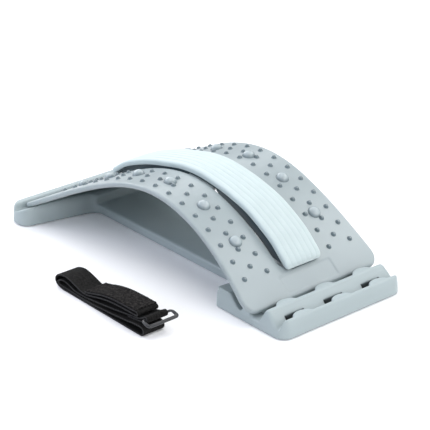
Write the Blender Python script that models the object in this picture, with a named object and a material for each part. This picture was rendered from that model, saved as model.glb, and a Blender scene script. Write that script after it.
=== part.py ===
"""Lumbar back stretcher: notched base, arched massage board, foam spine strip and folded strap.

Metres, +Z up. +X runs towards the notched foot end, +Y across the board, and the
origin is the centre of the base's flat underside.
"""

import math

import bmesh
import bpy
from mathutils import Matrix

MM = 0.001
SEAT_GAP = 0.3 * MM          # air kept between pieces that rest on each other

# The arch that the board's top face follows: two Bezier spans that meet level at the crown.
HEAD_END = (-190.0 * MM, 16.2 * MM)
HEAD_SLOPE = math.radians(26.6)
HEAD_HANDLE = 78.0 * MM
CROWN = (-0.5 * MM, 89.4 * MM)
CROWN_HANDLE_HEAD = 60.0 * MM
CROWN_HANDLE_FOOT = 61.0 * MM
FOOT_END = (165.0 * MM, 9.8 * MM)
FOOT_SLOPE = math.radians(40.3)
FOOT_HANDLE = 63.0 * MM
ARCH_STEPS = 240

# Board
BOARD_THICKNESS = 5.6 * MM
BOARD_HEAD_X = -186.2 * MM
BOARD_FOOT_X = 158.6 * MM
BOARD_WAIST_X = 52.0 * MM
BOARD_WAIST_HALF = 79.7 * MM
BOARD_HEAD_FLARE = 32.5 * MM
BOARD_FOOT_FLARE = 9.8 * MM
BOARD_HEAD_CORNER = 15.0 * MM
BOARD_FOOT_CORNER = 17.0 * MM
BOARD_EDGE_ROUND = 1.4 * MM
BOARD_SKIN = 3.2 * MM
BOARD_RIM = 3.4 * MM

# Toe under the board's foot edge, which stands in a notch of the base
TOE_SETBACK = 1.8 * MM
TOE_THICKNESS = 2.6 * MM
TOE_HALF = 68.0 * MM

# Spine openings in the board, and the bridge at the crown between them
OPENING_HALF = 25.2 * MM
OPENING_CORNER = 7.0 * MM
HEAD_OPENING = (-128.0 * MM, -10.0 * MM)
FOOT_OPENING = (29.0 * MM, 132.6 * MM)
BRIDGE_RECESS = 1.6 * MM

# Bare label recess near the foot end
LABEL_SPAN = (139.2 * MM, 154.0 * MM)
LABEL_HALF = 34.0 * MM
LABEL_DEPTH = 0.5 * MM

# Massage nubs and domes
NUB_FIRST_X = 130.7 * MM
NUB_ROW_STEP = 10.52 * MM
NUB_ROWS = 31
NUB_COLUMN_OUTER = 70.0 * MM
NUB_COLUMN_MIDDLE = 55.5 * MM
NUB_COLUMN_INNER = 41.3 * MM
NUB_RADIUS = 2.5 * MM
NUB_TOP_RADIUS = 1.3 * MM
NUB_HEIGHT = 2.4 * MM
DOME_ROW_STEP = 5
DOME_FIRST_ROW = 4
DOME_RADIUS = 7.0 * MM
DOME_HEIGHT = 4.4 * MM

# Spine carrier and foam pad: the strip lands on the board past both openings and in the bridge's recess
STRIP_HEAD_LANDING = 9.0 * MM
STRIP_FOOT_LANDING = 4.4 * MM
STRIP_HEAD_X = HEAD_OPENING[0] - STRIP_HEAD_LANDING
STRIP_FOOT_X = FOOT_OPENING[1] + STRIP_FOOT_LANDING
CARRIER_HALF = 21.8 * MM
CARRIER_THICKNESS = 1.8 * MM
STRIP_RISE = (
    (STRIP_HEAD_X, SEAT_GAP),
    (-112.0 * MM, 3.4 * MM),
    (-76.0 * MM, 1.4 * MM),
    (-40.0 * MM, SEAT_GAP - BRIDGE_RECESS),
    (20.0 * MM, SEAT_GAP - BRIDGE_RECESS),
    (52.0 * MM, 0.6 * MM),
    (82.0 * MM, 3.5 * MM),
    (108.0 * MM, 3.8 * MM),
    (STRIP_FOOT_X, SEAT_GAP),
)
FOAM_SIDE_OVERHANG = 1.3 * MM
FOAM_HALF = CARRIER_HALF + FOAM_SIDE_OVERHANG
FOAM_THICKNESS = 5.8 * MM
FOAM_CROWN = 1.0 * MM
FOAM_EDGE_ROUND = 2.2 * MM
FOAM_GROOVES = 6
FOAM_GROOVE_DEPTH = 0.8 * MM
FOAM_GROOVE_HALF = 0.9 * MM
FOAM_END_CORNER = 8.0 * MM

# Base
BASE_HALF_LENGTH = 197.4 * MM
BASE_FOOT_HALF = 80.5 * MM
BASE_FOOT_INNER_X = 100.0 * MM
BASE_FOOT_CORNER = 12.5 * MM
BASE_FOOT_INNER_CORNER = 2.5 * MM
BASE_HEAD_HALF = 120.4 * MM
BASE_HEAD_CORNER = 15.0 * MM
BASE_HEAD_INNER_CORNER = 12.0 * MM
HEAD_WALL_NEAR_WEB = -150.0 * MM
HEAD_WALL_AT_END = -168.3 * MM
WEB_HALF = 36.75 * MM
WEB_HEIGHT = 10.0 * MM
WEB_ROUND = 4.0 * MM
WEB_FILLET = 12.0 * MM
BAR_TOP = 21.7 * MM
NOTCH_FLOOR = 9.1 * MM
CREST_TOP = 22.3 * MM
FRONT_LIP_TOP = 19.6 * MM
INNER_CREST_TOP = 15.0 * MM
RIDGE_TOP = 20.2 * MM
HEAD_BAR_TOP = 21.5 * MM

# Hooked lips over each notch, with the slot that the mould leaves below each
LIP_SPACING = 50.4 * MM
LIP_HALF = 12.0 * MM
LIP_REACH = 7.0 * MM
LIP_THICKNESS = 2.6 * MM
LIP_TIP_CLEARANCE = 3.2 * MM
INNER_LIP_SETBACK = 29.0 * MM
FRONT_LIP_INSET = 5.4 * MM
LIP_WALL_X = (
    BOARD_FOOT_X + LIP_TIP_CLEARANCE + LIP_REACH - INNER_LIP_SETBACK,
    BOARD_FOOT_X + LIP_TIP_CLEARANCE + LIP_REACH,
    BASE_HALF_LENGTH - FRONT_LIP_INSET,
)
LIP_TOPS = (INNER_CREST_TOP, CREST_TOP, FRONT_LIP_TOP)
SLOT_SIDE_ROOM = 0.2 * MM
SLOT_REACH = 12.4 * MM

# Underside
BASE_WALL = 5.0 * MM
RIB = 2.0 * MM
FOOT_BAR_CEILING = 18.2 * MM
NOTCH_CEILING = 6.2 * MM
WEB_CEILING = 7.0 * MM
HEAD_CEILING = 8.6 * MM
PAD_RADIUS = 8.0 * MM
PAD_DROP = 0.6 * MM
PAD_RECESS = 1.6 * MM
PAD_SIDE_GAP = 0.3 * MM
PAD_WALL = 2.4 * MM
FOOT_PAD_PLACE = (BASE_HALF_LENGTH - 21.4 * MM, BASE_FOOT_HALF - 20.5 * MM)
HEAD_PAD_PLACE = (16.9 * MM - BASE_HALF_LENGTH, BASE_HEAD_HALF - 23.4 * MM)
PAD_PLACES = (
    ("pad_foot_near", FOOT_PAD_PLACE[0], -FOOT_PAD_PLACE[1], NOTCH_CEILING + 0.4 * MM),
    ("pad_foot_far", FOOT_PAD_PLACE[0], FOOT_PAD_PLACE[1], NOTCH_CEILING + 0.4 * MM),
    ("pad_head_near", HEAD_PAD_PLACE[0], -HEAD_PAD_PLACE[1], HEAD_CEILING + 0.4 * MM),
    ("pad_head_far", HEAD_PAD_PLACE[0], HEAD_PAD_PLACE[1], HEAD_CEILING + 0.4 * MM),
)

# Strap, folded and lying beside the base
FLOOR_Z = -PAD_DROP
STRAP_Y = -158.3 * MM
STRAP_WIDTH = 25.8 * MM
STRAP_THICKNESS = 1.7 * MM
PILE_THICKNESS = 1.0 * MM
PILE_MARGIN = 0.35 * MM
PILE_WIDTH = STRAP_WIDTH - 2 * PILE_MARGIN
LOWER_LAYERS_ASIDE = -1.6 * MM
TAIL_ASIDE = 2.4 * MM
RING_ASIDE = 3.8 * MM
RING_BAR = 1.4 * MM
RING_ROOM = 6.4 * MM
RING_CLEAR = STRAP_WIDTH + RING_ROOM
RING_BACK = (102.0 * MM, 16.4 * MM + FLOOR_Z)
RING_FRONT = (112.2 * MM, 14.4 * MM + FLOOR_Z)


def clear_scene():
    """Remove every object, so the script can run in a new or an open file."""
    for item in list(bpy.data.objects):
        bpy.data.objects.remove(item, do_unlink=True)


def make_collection(name):
    """Return a new collection linked under the scene's own."""
    collection = bpy.data.collections.new(name)
    bpy.context.scene.collection.children.link(collection)
    return collection


def make_material(name, colour, roughness, metallic=0.0):
    """Return a Principled material with one flat colour."""
    material = bpy.data.materials.new(name)
    material.use_nodes = True
    shader = material.node_tree.nodes["Principled BSDF"]
    shader.inputs["Base Color"].default_value = (*colour, 1.0)
    shader.inputs["Roughness"].default_value = roughness
    shader.inputs["Metallic"].default_value = metallic
    material.diffuse_color = (*colour, 1.0)
    return material


def add_mesh_object(name, bm, collection, material=None):
    """Store a bmesh as a named object with outward normals."""
    bmesh.ops.recalc_face_normals(bm, faces=bm.faces)
    mesh = bpy.data.meshes.new(name)
    bm.to_mesh(mesh)
    bm.free()
    item = bpy.data.objects.new(name, mesh)
    collection.objects.link(item)
    if material is not None:
        mesh.materials.append(material)
    return item


def add_cutter(name, bm, cutters):
    """Store a bmesh as a Boolean operand that is never rendered."""
    item = add_mesh_object(name, bm, cutters)
    item.hide_render = True
    item.display_type = "WIRE"
    return item


def put_origin(item, point):
    """Move an object's origin to a point, such as its joint's axis, and leave its shape in place."""
    item.data.transform(Matrix.Translation([-value for value in point]))
    item.location = point


def add_boolean(item, operand, operation):
    """Add an exact Boolean to item."""
    modifier = item.modifiers.new(operation.lower() + "_" + operand.name, "BOOLEAN")
    modifier.operation = operation
    modifier.solver = "EXACT"
    modifier.object = operand


def loft_into(bm, rings):
    """Loft through closed rings of equal count and close both ends."""
    loops = [[bm.verts.new(point) for point in ring] for ring in rings]
    count = len(loops[0])
    for first, second in zip(loops, loops[1:]):
        for i in range(count):
            j = (i + 1) % count
            bm.faces.new((first[i], first[j], second[j], second[i]))
    bm.faces.new(loops[0])
    bm.faces.new(list(reversed(loops[-1])))


def box_into(bm, low, high):
    """Add one box between two corners."""
    made = bmesh.ops.create_cube(bm, size=1.0)["verts"]
    size = [h - l for l, h in zip(low, high)]
    centre = [(l + h) / 2 for l, h in zip(low, high)]
    bmesh.ops.scale(bm, vec=size, verts=made)
    bmesh.ops.translate(bm, vec=centre, verts=made)


def cylinder_into(bm, centre, radius, bottom, top, segments):
    """Add one upright cylinder."""
    made = bmesh.ops.create_cone(
        bm, cap_ends=True, segments=segments, radius1=radius, radius2=radius, depth=top - bottom)["verts"]
    bmesh.ops.translate(bm, vec=(centre[0], centre[1], (bottom + top) / 2), verts=made)


def bezier_point(p0, p1, p2, p3, t):
    """Return a point on a plane cubic Bezier span."""
    u = 1.0 - t
    return tuple(
        u * u * u * a + 3 * u * u * t * b + 3 * u * t * t * c + t * t * t * d
        for a, b, c, d in zip(p0, p1, p2, p3))


def blend_through(points, x):
    """Return a smooth value at x through (x, value) points, with no overshoot between them."""
    if x <= points[0][0]:
        return points[0][1]
    if x >= points[-1][0]:
        return points[-1][1]
    slopes = [0.0]
    for low, here, high in zip(points, points[1:], points[2:]):
        before = (here[1] - low[1]) / (here[0] - low[0])
        after = (high[1] - here[1]) / (high[0] - here[0])
        level = before * after <= 0.0
        slopes.append(0.0 if level else 2 * before * after / (before + after))
    slopes.append(0.0)
    for i in range(len(points) - 1):
        (xa, va), (xb, vb) = points[i], points[i + 1]
        if xa <= x <= xb:
            span = xb - xa
            t = (x - xa) / span
            h00 = 2 * t ** 3 - 3 * t ** 2 + 1
            h10 = t ** 3 - 2 * t ** 2 + t
            h01 = -2 * t ** 3 + 3 * t ** 2
            h11 = t ** 3 - t ** 2
            return h00 * va + h10 * span * slopes[i] + h01 * vb + h11 * span * slopes[i + 1]
    return points[-1][1]


class Arch:
    """The board's top line, sampled by arc length from the head end to the foot end."""

    def __init__(self):
        head_far = (HEAD_END[0] + HEAD_HANDLE * math.cos(HEAD_SLOPE),
                    HEAD_END[1] + HEAD_HANDLE * math.sin(HEAD_SLOPE))
        foot_far = (FOOT_END[0] - FOOT_HANDLE * math.cos(FOOT_SLOPE),
                    FOOT_END[1] + FOOT_HANDLE * math.sin(FOOT_SLOPE))
        spans = (
            (HEAD_END, head_far, (CROWN[0] - CROWN_HANDLE_HEAD, CROWN[1]), CROWN),
            (CROWN, (CROWN[0] + CROWN_HANDLE_FOOT, CROWN[1]), foot_far, FOOT_END),
        )
        self.points = [HEAD_END]
        for span in spans:
            for i in range(1, ARCH_STEPS + 1):
                self.points.append(bezier_point(*span, i / ARCH_STEPS))
        self.lengths = [0.0]
        for a, b in zip(self.points, self.points[1:]):
            self.lengths.append(self.lengths[-1] + math.dist(a, b))

    def length_at_x(self, x):
        """Return the arc length where the line passes x."""
        for i in range(len(self.points) - 1):
            a, b = self.points[i], self.points[i + 1]
            if a[0] <= x <= b[0]:
                t = (x - a[0]) / (b[0] - a[0])
                return self.lengths[i] + t * (self.lengths[i + 1] - self.lengths[i])
        raise ValueError("x is beyond the arch")

    def place(self, s):
        """Return the point, tangent and normal at arc length s."""
        last = len(self.lengths) - 2
        i = 0
        while i < last and self.lengths[i + 1] < s:
            i += 1
        a, b = self.points[i], self.points[i + 1]
        step = self.lengths[i + 1] - self.lengths[i]
        t = (s - self.lengths[i]) / step
        before = self.points[max(i - 1, 0)]
        after = self.points[min(i + 2, len(self.points) - 1)]
        run = math.dist(before, after)
        tangent = ((after[0] - before[0]) / run, (after[1] - before[1]) / run)
        point = (a[0] + t * (b[0] - a[0]), a[1] + t * (b[1] - a[1]))
        return point, tangent, (-tangent[1], tangent[0])

    def lift(self, s, y, rise):
        """Return the 3-D point at arc length s, offset y across and rise along the normal."""
        point, _, normal = self.place(s)
        return (point[0] + rise * normal[0], y, point[1] + rise * normal[1])


def board_half_width(x):
    """Return the board's half width at x, before its corners are rounded."""
    if x < BOARD_WAIST_X:
        t = (BOARD_WAIST_X - x) / (BOARD_WAIST_X - BOARD_HEAD_X)
        return BOARD_WAIST_HALF + BOARD_HEAD_FLARE * t ** 2.6
    t = (x - BOARD_WAIST_X) / (BOARD_FOOT_X - BOARD_WAIST_X)
    return BOARD_WAIST_HALF + BOARD_FOOT_FLARE * t ** 2


def corner_pull(distance, radius):
    """Return how far a rounded corner draws the side in at a distance from the end."""
    if distance >= radius:
        return 0.0
    left = radius - distance
    return radius - math.sqrt(max(radius * radius - left * left, 0.0))


def end_stations(start, end, body_step, end_round, plan_round):
    """Return arc lengths that are close together where the ends are rounded."""
    stations = []
    for i in range(5):
        stations.append(end_round * (1 - math.cos(math.radians(12 + 78 * i / 4))))
    for angle in (40, 56, 72, 90):
        stations.append(plan_round * (1 - math.cos(math.radians(angle))))
    head = sorted(s for s in stations if s > 0)
    places = [start + s for s in head] + [end - s for s in head]
    low = start + head[-1]
    high = end - head[-1]
    count = int(round((high - low) / body_step))
    places += [low + (high - low) * i / count for i in range(1, count)]
    places.sort()
    kept = [places[0]]
    for s in places[1:]:
        if s - kept[-1] > 0.00025:
            kept.append(s)
    return kept


def edge_section(half, top, bottom, chamfer):
    """Return an eight-point flat section with its four edges cut back, as (y, rise) pairs."""
    c = min(chamfer, half * 0.45, (top - bottom) * 0.45)
    return [
        (-half + c, top), (half - c, top), (half, top - c), (half, bottom + c),
        (half - c, bottom), (-half + c, bottom), (-half, bottom + c), (-half, top - c),
    ]


def build_board(arch, parts, cutters, material):
    """Build the arched board with its openings, recesses, nubs and domes."""
    start = arch.length_at_x(BOARD_HEAD_X)
    end = arch.length_at_x(BOARD_FOOT_X)
    nose = BOARD_THICKNESS / 2
    bm = bmesh.new()
    rings = []
    for s in end_stations(start, end, 9.0 * MM, nose, BOARD_FOOT_CORNER):
        point = arch.place(s)[0]
        half = board_half_width(point[0])
        half -= corner_pull(s - start, BOARD_HEAD_CORNER) + corner_pull(end - s, BOARD_FOOT_CORNER)
        pull = corner_pull(s - start, nose) + corner_pull(end - s, nose)
        section = edge_section(half, -pull, -BOARD_THICKNESS + pull, BOARD_EDGE_ROUND)
        rings.append([arch.lift(s, y, rise) for y, rise in section])
    loft_into(bm, rings)
    board = add_mesh_object("board", bm, parts, material)

    bm = bmesh.new()
    inner = OPENING_HALF + BOARD_RIM
    low = start + BOARD_HEAD_CORNER + 1.3 * MM
    high = end - BOARD_FOOT_CORNER - 1.3 * MM
    count = 26
    for side in (-1, 1):
        rings = []
        for i in range(count + 1):
            s = low + (high - low) * i / count
            outer = board_half_width(arch.place(s)[0][0]) - BOARD_RIM
            draft = 0.5 * MM
            section = (
                (side * inner, -BOARD_THICKNESS - 2 * MM),
                (side * (inner + draft), -BOARD_SKIN),
                (side * (outer - draft), -BOARD_SKIN),
                (side * outer, -BOARD_THICKNESS - 2 * MM),
            )
            rings.append([arch.lift(s, y, rise) for y, rise in section])
        loft_into(bm, rings)
    add_boolean(board, add_cutter("cut_board_pockets", bm, cutters), "DIFFERENCE")

    bm = bmesh.new()
    for low_x, high_x in (HEAD_OPENING, FOOT_OPENING):
        low = arch.length_at_x(low_x)
        high = arch.length_at_x(high_x)
        rings = []
        for s in end_stations(low, high, 9.0 * MM, 0.6 * MM, OPENING_CORNER):
            half = OPENING_HALF
            half -= corner_pull(s - low, OPENING_CORNER) + corner_pull(high - s, OPENING_CORNER)
            section = ((-half, 3 * MM), (half, 3 * MM), (half, -9 * MM), (-half, -9 * MM))
            rings.append([arch.lift(s, y, rise) for y, rise in section])
        loft_into(bm, rings)
    add_boolean(board, add_cutter("cut_board_openings", bm, cutters), "DIFFERENCE")

    bm = bmesh.new()
    low = arch.length_at_x(HEAD_OPENING[1]) - 4 * MM
    high = arch.length_at_x(FOOT_OPENING[0]) + 4 * MM
    recess = OPENING_HALF - 0.02 * MM
    rings = []
    for i in range(7):
        s = low + (high - low) * i / 6
        section = ((-recess, 3 * MM), (recess, 3 * MM), (recess, -BRIDGE_RECESS), (-recess, -BRIDGE_RECESS))
        rings.append([arch.lift(s, y, rise) for y, rise in section])
    loft_into(bm, rings)
    low = arch.length_at_x(LABEL_SPAN[0])
    high = arch.length_at_x(LABEL_SPAN[1])
    rings = []
    for i in range(4):
        s = low + (high - low) * i / 3
        section = (
            (-LABEL_HALF, 3 * MM), (LABEL_HALF, 3 * MM), (LABEL_HALF, -LABEL_DEPTH), (-LABEL_HALF, -LABEL_DEPTH))
        rings.append([arch.lift(s, y, rise) for y, rise in section])
    loft_into(bm, rings)
    add_boolean(board, add_cutter("cut_board_recesses", bm, cutters), "DIFFERENCE")

    bm = bmesh.new()
    toe_x = BOARD_FOOT_X - TOE_SETBACK
    nose_z = arch.place(end - nose)[0][1] - nose
    box_into(
        bm, (toe_x - TOE_THICKNESS, -TOE_HALF, NOTCH_FLOOR + SEAT_GAP), (toe_x, TOE_HALF, nose_z))
    add_boolean(board, add_cutter("add_board_toe", bm, cutters), "UNION")

    bm = bmesh.new()
    first = arch.length_at_x(NUB_FIRST_X)
    for row in range(NUB_ROWS):
        s = first - row * NUB_ROW_STEP
        has_dome = row >= DOME_FIRST_ROW and (row - DOME_FIRST_ROW) % DOME_ROW_STEP == 0
        if row % 2 == 0:
            columns = (NUB_COLUMN_OUTER, NUB_COLUMN_INNER)
        else:
            columns = () if has_dome else (NUB_COLUMN_MIDDLE,)
        for column in columns:
            for side in (-1, 1):
                add_nub(bm, arch, s, side * column)
        if has_dome:
            for side in (-1, 1):
                add_dome(bm, arch, s, side * NUB_COLUMN_MIDDLE)
    add_boolean(board, add_cutter("add_board_nubs", bm, cutters), "UNION")
    return board


def add_round_boss(bm, arch, s, y, levels, segments):
    """Loft one round boss on the board's face through (rise, radius) levels."""
    point, tangent, normal = arch.place(s)
    rings = []
    for rise, radius in levels:
        ring = []
        for i in range(segments):
            angle = 2 * math.pi * (i + 0.5) / segments
            along = radius * math.cos(angle)
            across = radius * math.sin(angle)
            ring.append((
                point[0] + along * tangent[0] + rise * normal[0],
                y + across,
                point[1] + along * tangent[1] + rise * normal[1],
            ))
        rings.append(ring)
    loft_into(bm, rings)


def add_nub(bm, arch, s, y):
    """Add one small massage nub."""
    sunk = 1.2 * MM
    spread = (NUB_RADIUS - NUB_TOP_RADIUS) * sunk / NUB_HEIGHT
    levels = ((-sunk, NUB_RADIUS + spread), (NUB_HEIGHT, NUB_TOP_RADIUS))
    add_round_boss(bm, arch, s, y, levels, 7)


def add_dome(bm, arch, s, y):
    """Add one large round dome."""
    levels = [(-1.2 * MM, DOME_RADIUS)]
    for degrees in (6, 34, 62, 80):
        angle = math.radians(degrees)
        levels.append((DOME_HEIGHT * math.sin(angle), DOME_RADIUS * math.cos(angle)))
    add_round_boss(bm, arch, s, y, levels, 12)


def strip_stations(arch, count):
    """Return arc lengths along the spine strip, closer together at its two ends."""
    low = arch.length_at_x(STRIP_HEAD_X)
    high = arch.length_at_x(STRIP_FOOT_X)
    ends = (0.0, 0.8 * MM, 2.2 * MM, 4.4 * MM, FOAM_END_CORNER)
    places = [low + e for e in ends] + [high - e for e in ends]
    inner_low = low + ends[-1]
    inner_high = high - ends[-1]
    places += [inner_low + (inner_high - inner_low) * i / count for i in range(1, count)]
    return low, high, sorted(places)


def build_carrier(arch, parts, material):
    """Build the springy strip that holds the foam above the board."""
    low, high, places = strip_stations(arch, 26)
    bm = bmesh.new()
    rings = []
    for s in places:
        x = arch.place(s)[0][0]
        bottom = blend_through(STRIP_RISE, x)
        half = CARRIER_HALF
        half -= corner_pull(s - low, FOAM_END_CORNER) + corner_pull(high - s, FOAM_END_CORNER)
        section = edge_section(half, bottom + CARRIER_THICKNESS, bottom, 0.4 * MM)
        rings.append([arch.lift(s, y, rise) for y, rise in section])
    loft_into(bm, rings)
    return add_mesh_object("spine_carrier", bm, parts, material)


def foam_section(half, bottom, height, groove):
    """Return the foam's grooved section as (y, rise) pairs."""
    edge = min(FOAM_EDGE_ROUND, height * 0.42)
    top = bottom + height
    points = [(half - 0.6 * MM, bottom), (half, bottom + 0.8 * MM), (half, top - edge)]
    points.append((half - 0.3 * edge, top - 0.3 * edge))
    flat = half - edge
    pitch = 2 * half / (FOAM_GROOVES + 1)
    line = []
    for i in range(FOAM_GROOVES):
        centre = half - (i + 1) * pitch
        line += [(centre + FOAM_GROOVE_HALF, 0.0), (centre, groove), (centre - FOAM_GROOVE_HALF, 0.0)]
    line = [(flat, 0.0)] + line + [(-flat, 0.0)]
    for y, drop in line:
        crown = FOAM_CROWN * (1 - (y / half) ** 2)
        points.append((y, top - drop + crown * height / FOAM_THICKNESS))
    points.append((-half + 0.3 * edge, top - 0.3 * edge))
    points += [(-half, top - edge), (-half, bottom + 0.8 * MM), (-half + 0.6 * MM, bottom)]
    return points


def build_foam(arch, parts, material):
    """Build the ribbed foam pad on the carrier, with its crown and rounded ends."""
    low, high, places = strip_stations(arch, 22)
    bm = bmesh.new()
    rings = []
    for s in places:
        x = arch.place(s)[0][0]
        bottom = blend_through(STRIP_RISE, x) + CARRIER_THICKNESS + SEAT_GAP
        half = FOAM_HALF
        half -= 0.75 * (corner_pull(s - low, FOAM_END_CORNER) + corner_pull(high - s, FOAM_END_CORNER))
        drop = corner_pull(s - low, 5 * MM) + corner_pull(high - s, 5 * MM)
        height = FOAM_THICKNESS - 0.62 * drop
        groove = FOAM_GROOVE_DEPTH * (1.0 if drop == 0.0 else 0.35)
        rings.append([arch.lift(s, y, rise) for y, rise in foam_section(half, bottom, height, groove)])
    loft_into(bm, rings)
    return add_mesh_object("foam_pad", bm, parts, material)


def rounded_outline(corners, inset, segments=6):
    """Return a closed outline from (x, y, radius) corners listed anticlockwise, drawn in by inset."""
    count = len(corners)
    moved = []
    for i in range(count):
        x, y, radius = corners[i]
        ax, ay, _ = corners[i - 1]
        bx, by, _ = corners[(i + 1) % count]
        before = (x - ax, y - ay)
        after = (bx - x, by - y)
        la = math.hypot(*before)
        lb = math.hypot(*after)
        na = (-before[1] / la, before[0] / la)
        nb = (-after[1] / lb, after[0] / lb)
        share = 1 + na[0] * nb[0] + na[1] * nb[1]
        turn = before[0] * after[1] - before[1] * after[0]
        moved.append((
            x + inset * (na[0] + nb[0]) / share,
            y + inset * (na[1] + nb[1]) / share,
            radius - inset if turn > 0 else radius + inset,
        ))
    outline = []
    for i in range(count):
        x, y, radius = moved[i]
        ax, ay, _ = moved[i - 1]
        bx, by, _ = moved[(i + 1) % count]
        ua = (ax - x, ay - y)
        ub = (bx - x, by - y)
        la = math.hypot(*ua)
        lb = math.hypot(*ub)
        ua = (ua[0] / la, ua[1] / la)
        ub = (ub[0] / lb, ub[1] / lb)
        half_angle = math.acos(max(-1.0, min(1.0, ua[0] * ub[0] + ua[1] * ub[1]))) / 2
        tangent = radius / math.tan(half_angle)
        middle = (ua[0] + ub[0], ua[1] + ub[1])
        length = math.hypot(*middle)
        reach = radius / math.sin(half_angle)
        centre = (x + middle[0] / length * reach, y + middle[1] / length * reach)
        first = math.atan2(y + ua[1] * tangent - centre[1], x + ua[0] * tangent - centre[0])
        last = math.atan2(y + ub[1] * tangent - centre[1], x + ub[0] * tangent - centre[0])
        sweep = (last - first + math.pi) % (2 * math.pi) - math.pi
        for k in range(segments + 1):
            angle = first + sweep * k / segments
            outline.append((centre[0] + radius * math.cos(angle), centre[1] + radius * math.sin(angle)))
    return outline


def base_plan():
    """Return the base's plan corners, anticlockwise from the foot end's near corner."""
    web = WEB_HALF - 0.4 * MM
    half = [
        (BASE_HALF_LENGTH, BASE_FOOT_HALF, BASE_FOOT_CORNER),
        (BASE_FOOT_INNER_X, BASE_FOOT_HALF, BASE_FOOT_INNER_CORNER),
        (BASE_FOOT_INNER_X, web, WEB_FILLET),
        (HEAD_WALL_NEAR_WEB, web, WEB_FILLET),
        (HEAD_WALL_AT_END, BASE_HEAD_HALF, BASE_HEAD_INNER_CORNER),
        (-BASE_HALF_LENGTH, BASE_HEAD_HALF, BASE_HEAD_CORNER),
    ]
    mirrored = [(x, -y, radius) for x, y, radius in reversed(half)]
    return half + mirrored


def seat_geometry(arch):
    """Return the nose centre of the board's head end, and the seat's line below it."""
    start = arch.length_at_x(BOARD_HEAD_X)
    nose = BOARD_THICKNESS / 2
    point, tangent, normal = arch.place(start + nose)
    centre = (point[0] - nose * normal[0], point[1] - nose * normal[1])
    return centre, tangent, normal, nose


def base_side_profile(arch):
    """Return the base's side outline in X and Z, from the foot end over the top to the head end."""
    floor = NOTCH_FLOOR
    centre, tangent, normal, nose = seat_geometry(arch)
    reach = nose + SEAT_GAP
    seat_low = (centre[0] - reach * normal[0], centre[1] - reach * normal[1])
    rise = tangent[1] / tangent[0]
    seat_high = (seat_low[0] + (HEAD_BAR_TOP - seat_low[1]) / rise, HEAD_BAR_TOP)
    lean = (-0.33, 0.944)
    wall = (centre[0] - reach * lean[1], centre[1] + reach * lean[0])
    wall_top = (wall[0] + lean[0] / lean[1] * (RIDGE_TOP - 0.8 * MM - wall[1]), RIDGE_TOP - 0.8 * MM)
    wall_low = (wall[0] + 0.8 * MM, wall[1] - 2.2 * MM)
    foot = BASE_HALF_LENGTH
    steep = LIP_WALL_X
    return [
        (foot, 0.0),
        (foot - 1.0 * MM, FRONT_LIP_TOP - 5.0 * MM),
        (foot - 1.9 * MM, FRONT_LIP_TOP - 2.2 * MM),
        (foot - 3.1 * MM, FRONT_LIP_TOP - 0.6 * MM),
        (foot - 4.5 * MM, FRONT_LIP_TOP),
        (steep[2] + 0.3 * MM, FRONT_LIP_TOP),
        (steep[2] - 0.4 * MM, FRONT_LIP_TOP - 0.8 * MM),
        (steep[2] - 3.0 * MM, floor),
        (steep[2] - 5.2 * MM, floor),
        (steep[1] + 5.2 * MM, CREST_TOP - 2.2 * MM),
        (steep[1] + 3.8 * MM, CREST_TOP - 0.8 * MM),
        (steep[1] + 2.2 * MM, CREST_TOP),
        (steep[1] + 0.8 * MM, CREST_TOP),
        (steep[1] - 0.2 * MM, CREST_TOP - 0.8 * MM),
        (steep[1] - 6.4 * MM, floor),
        (BOARD_FOOT_X - TOE_SETBACK - TOE_THICKNESS - 0.8 * MM, floor),
        (BOARD_FOOT_X - 13.2 * MM, INNER_CREST_TOP),
        (steep[0], INNER_CREST_TOP),
        (steep[0] - 3.4 * MM, floor),
        (steep[0] - 5.8 * MM, floor),
        (steep[0] - 21.6 * MM, BAR_TOP),
        (BASE_FOOT_INNER_X + 2.4 * MM, BAR_TOP),
        (BASE_FOOT_INNER_X - 2.0 * MM, BAR_TOP - 2.0 * MM),
        (BASE_FOOT_INNER_X - 2.0 * MM, WEB_HEIGHT - 0.4 * MM),
        (HEAD_WALL_NEAR_WEB + 2.0 * MM, WEB_HEIGHT - 0.4 * MM),
        (HEAD_WALL_NEAR_WEB + 2.0 * MM, HEAD_BAR_TOP - 2.0 * MM),
        (HEAD_WALL_NEAR_WEB - 4.0 * MM, HEAD_BAR_TOP),
        seat_high,
        seat_low,
        wall_low,
        wall,
        wall_top,
        (wall_top[0] - 0.9 * MM, RIDGE_TOP),
        (-foot + 2.6 * MM, RIDGE_TOP),
        (-foot - 2.0 * MM, RIDGE_TOP - 3.0 * MM),
        (-foot - 2.0 * MM, 0.0),
    ]


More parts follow.
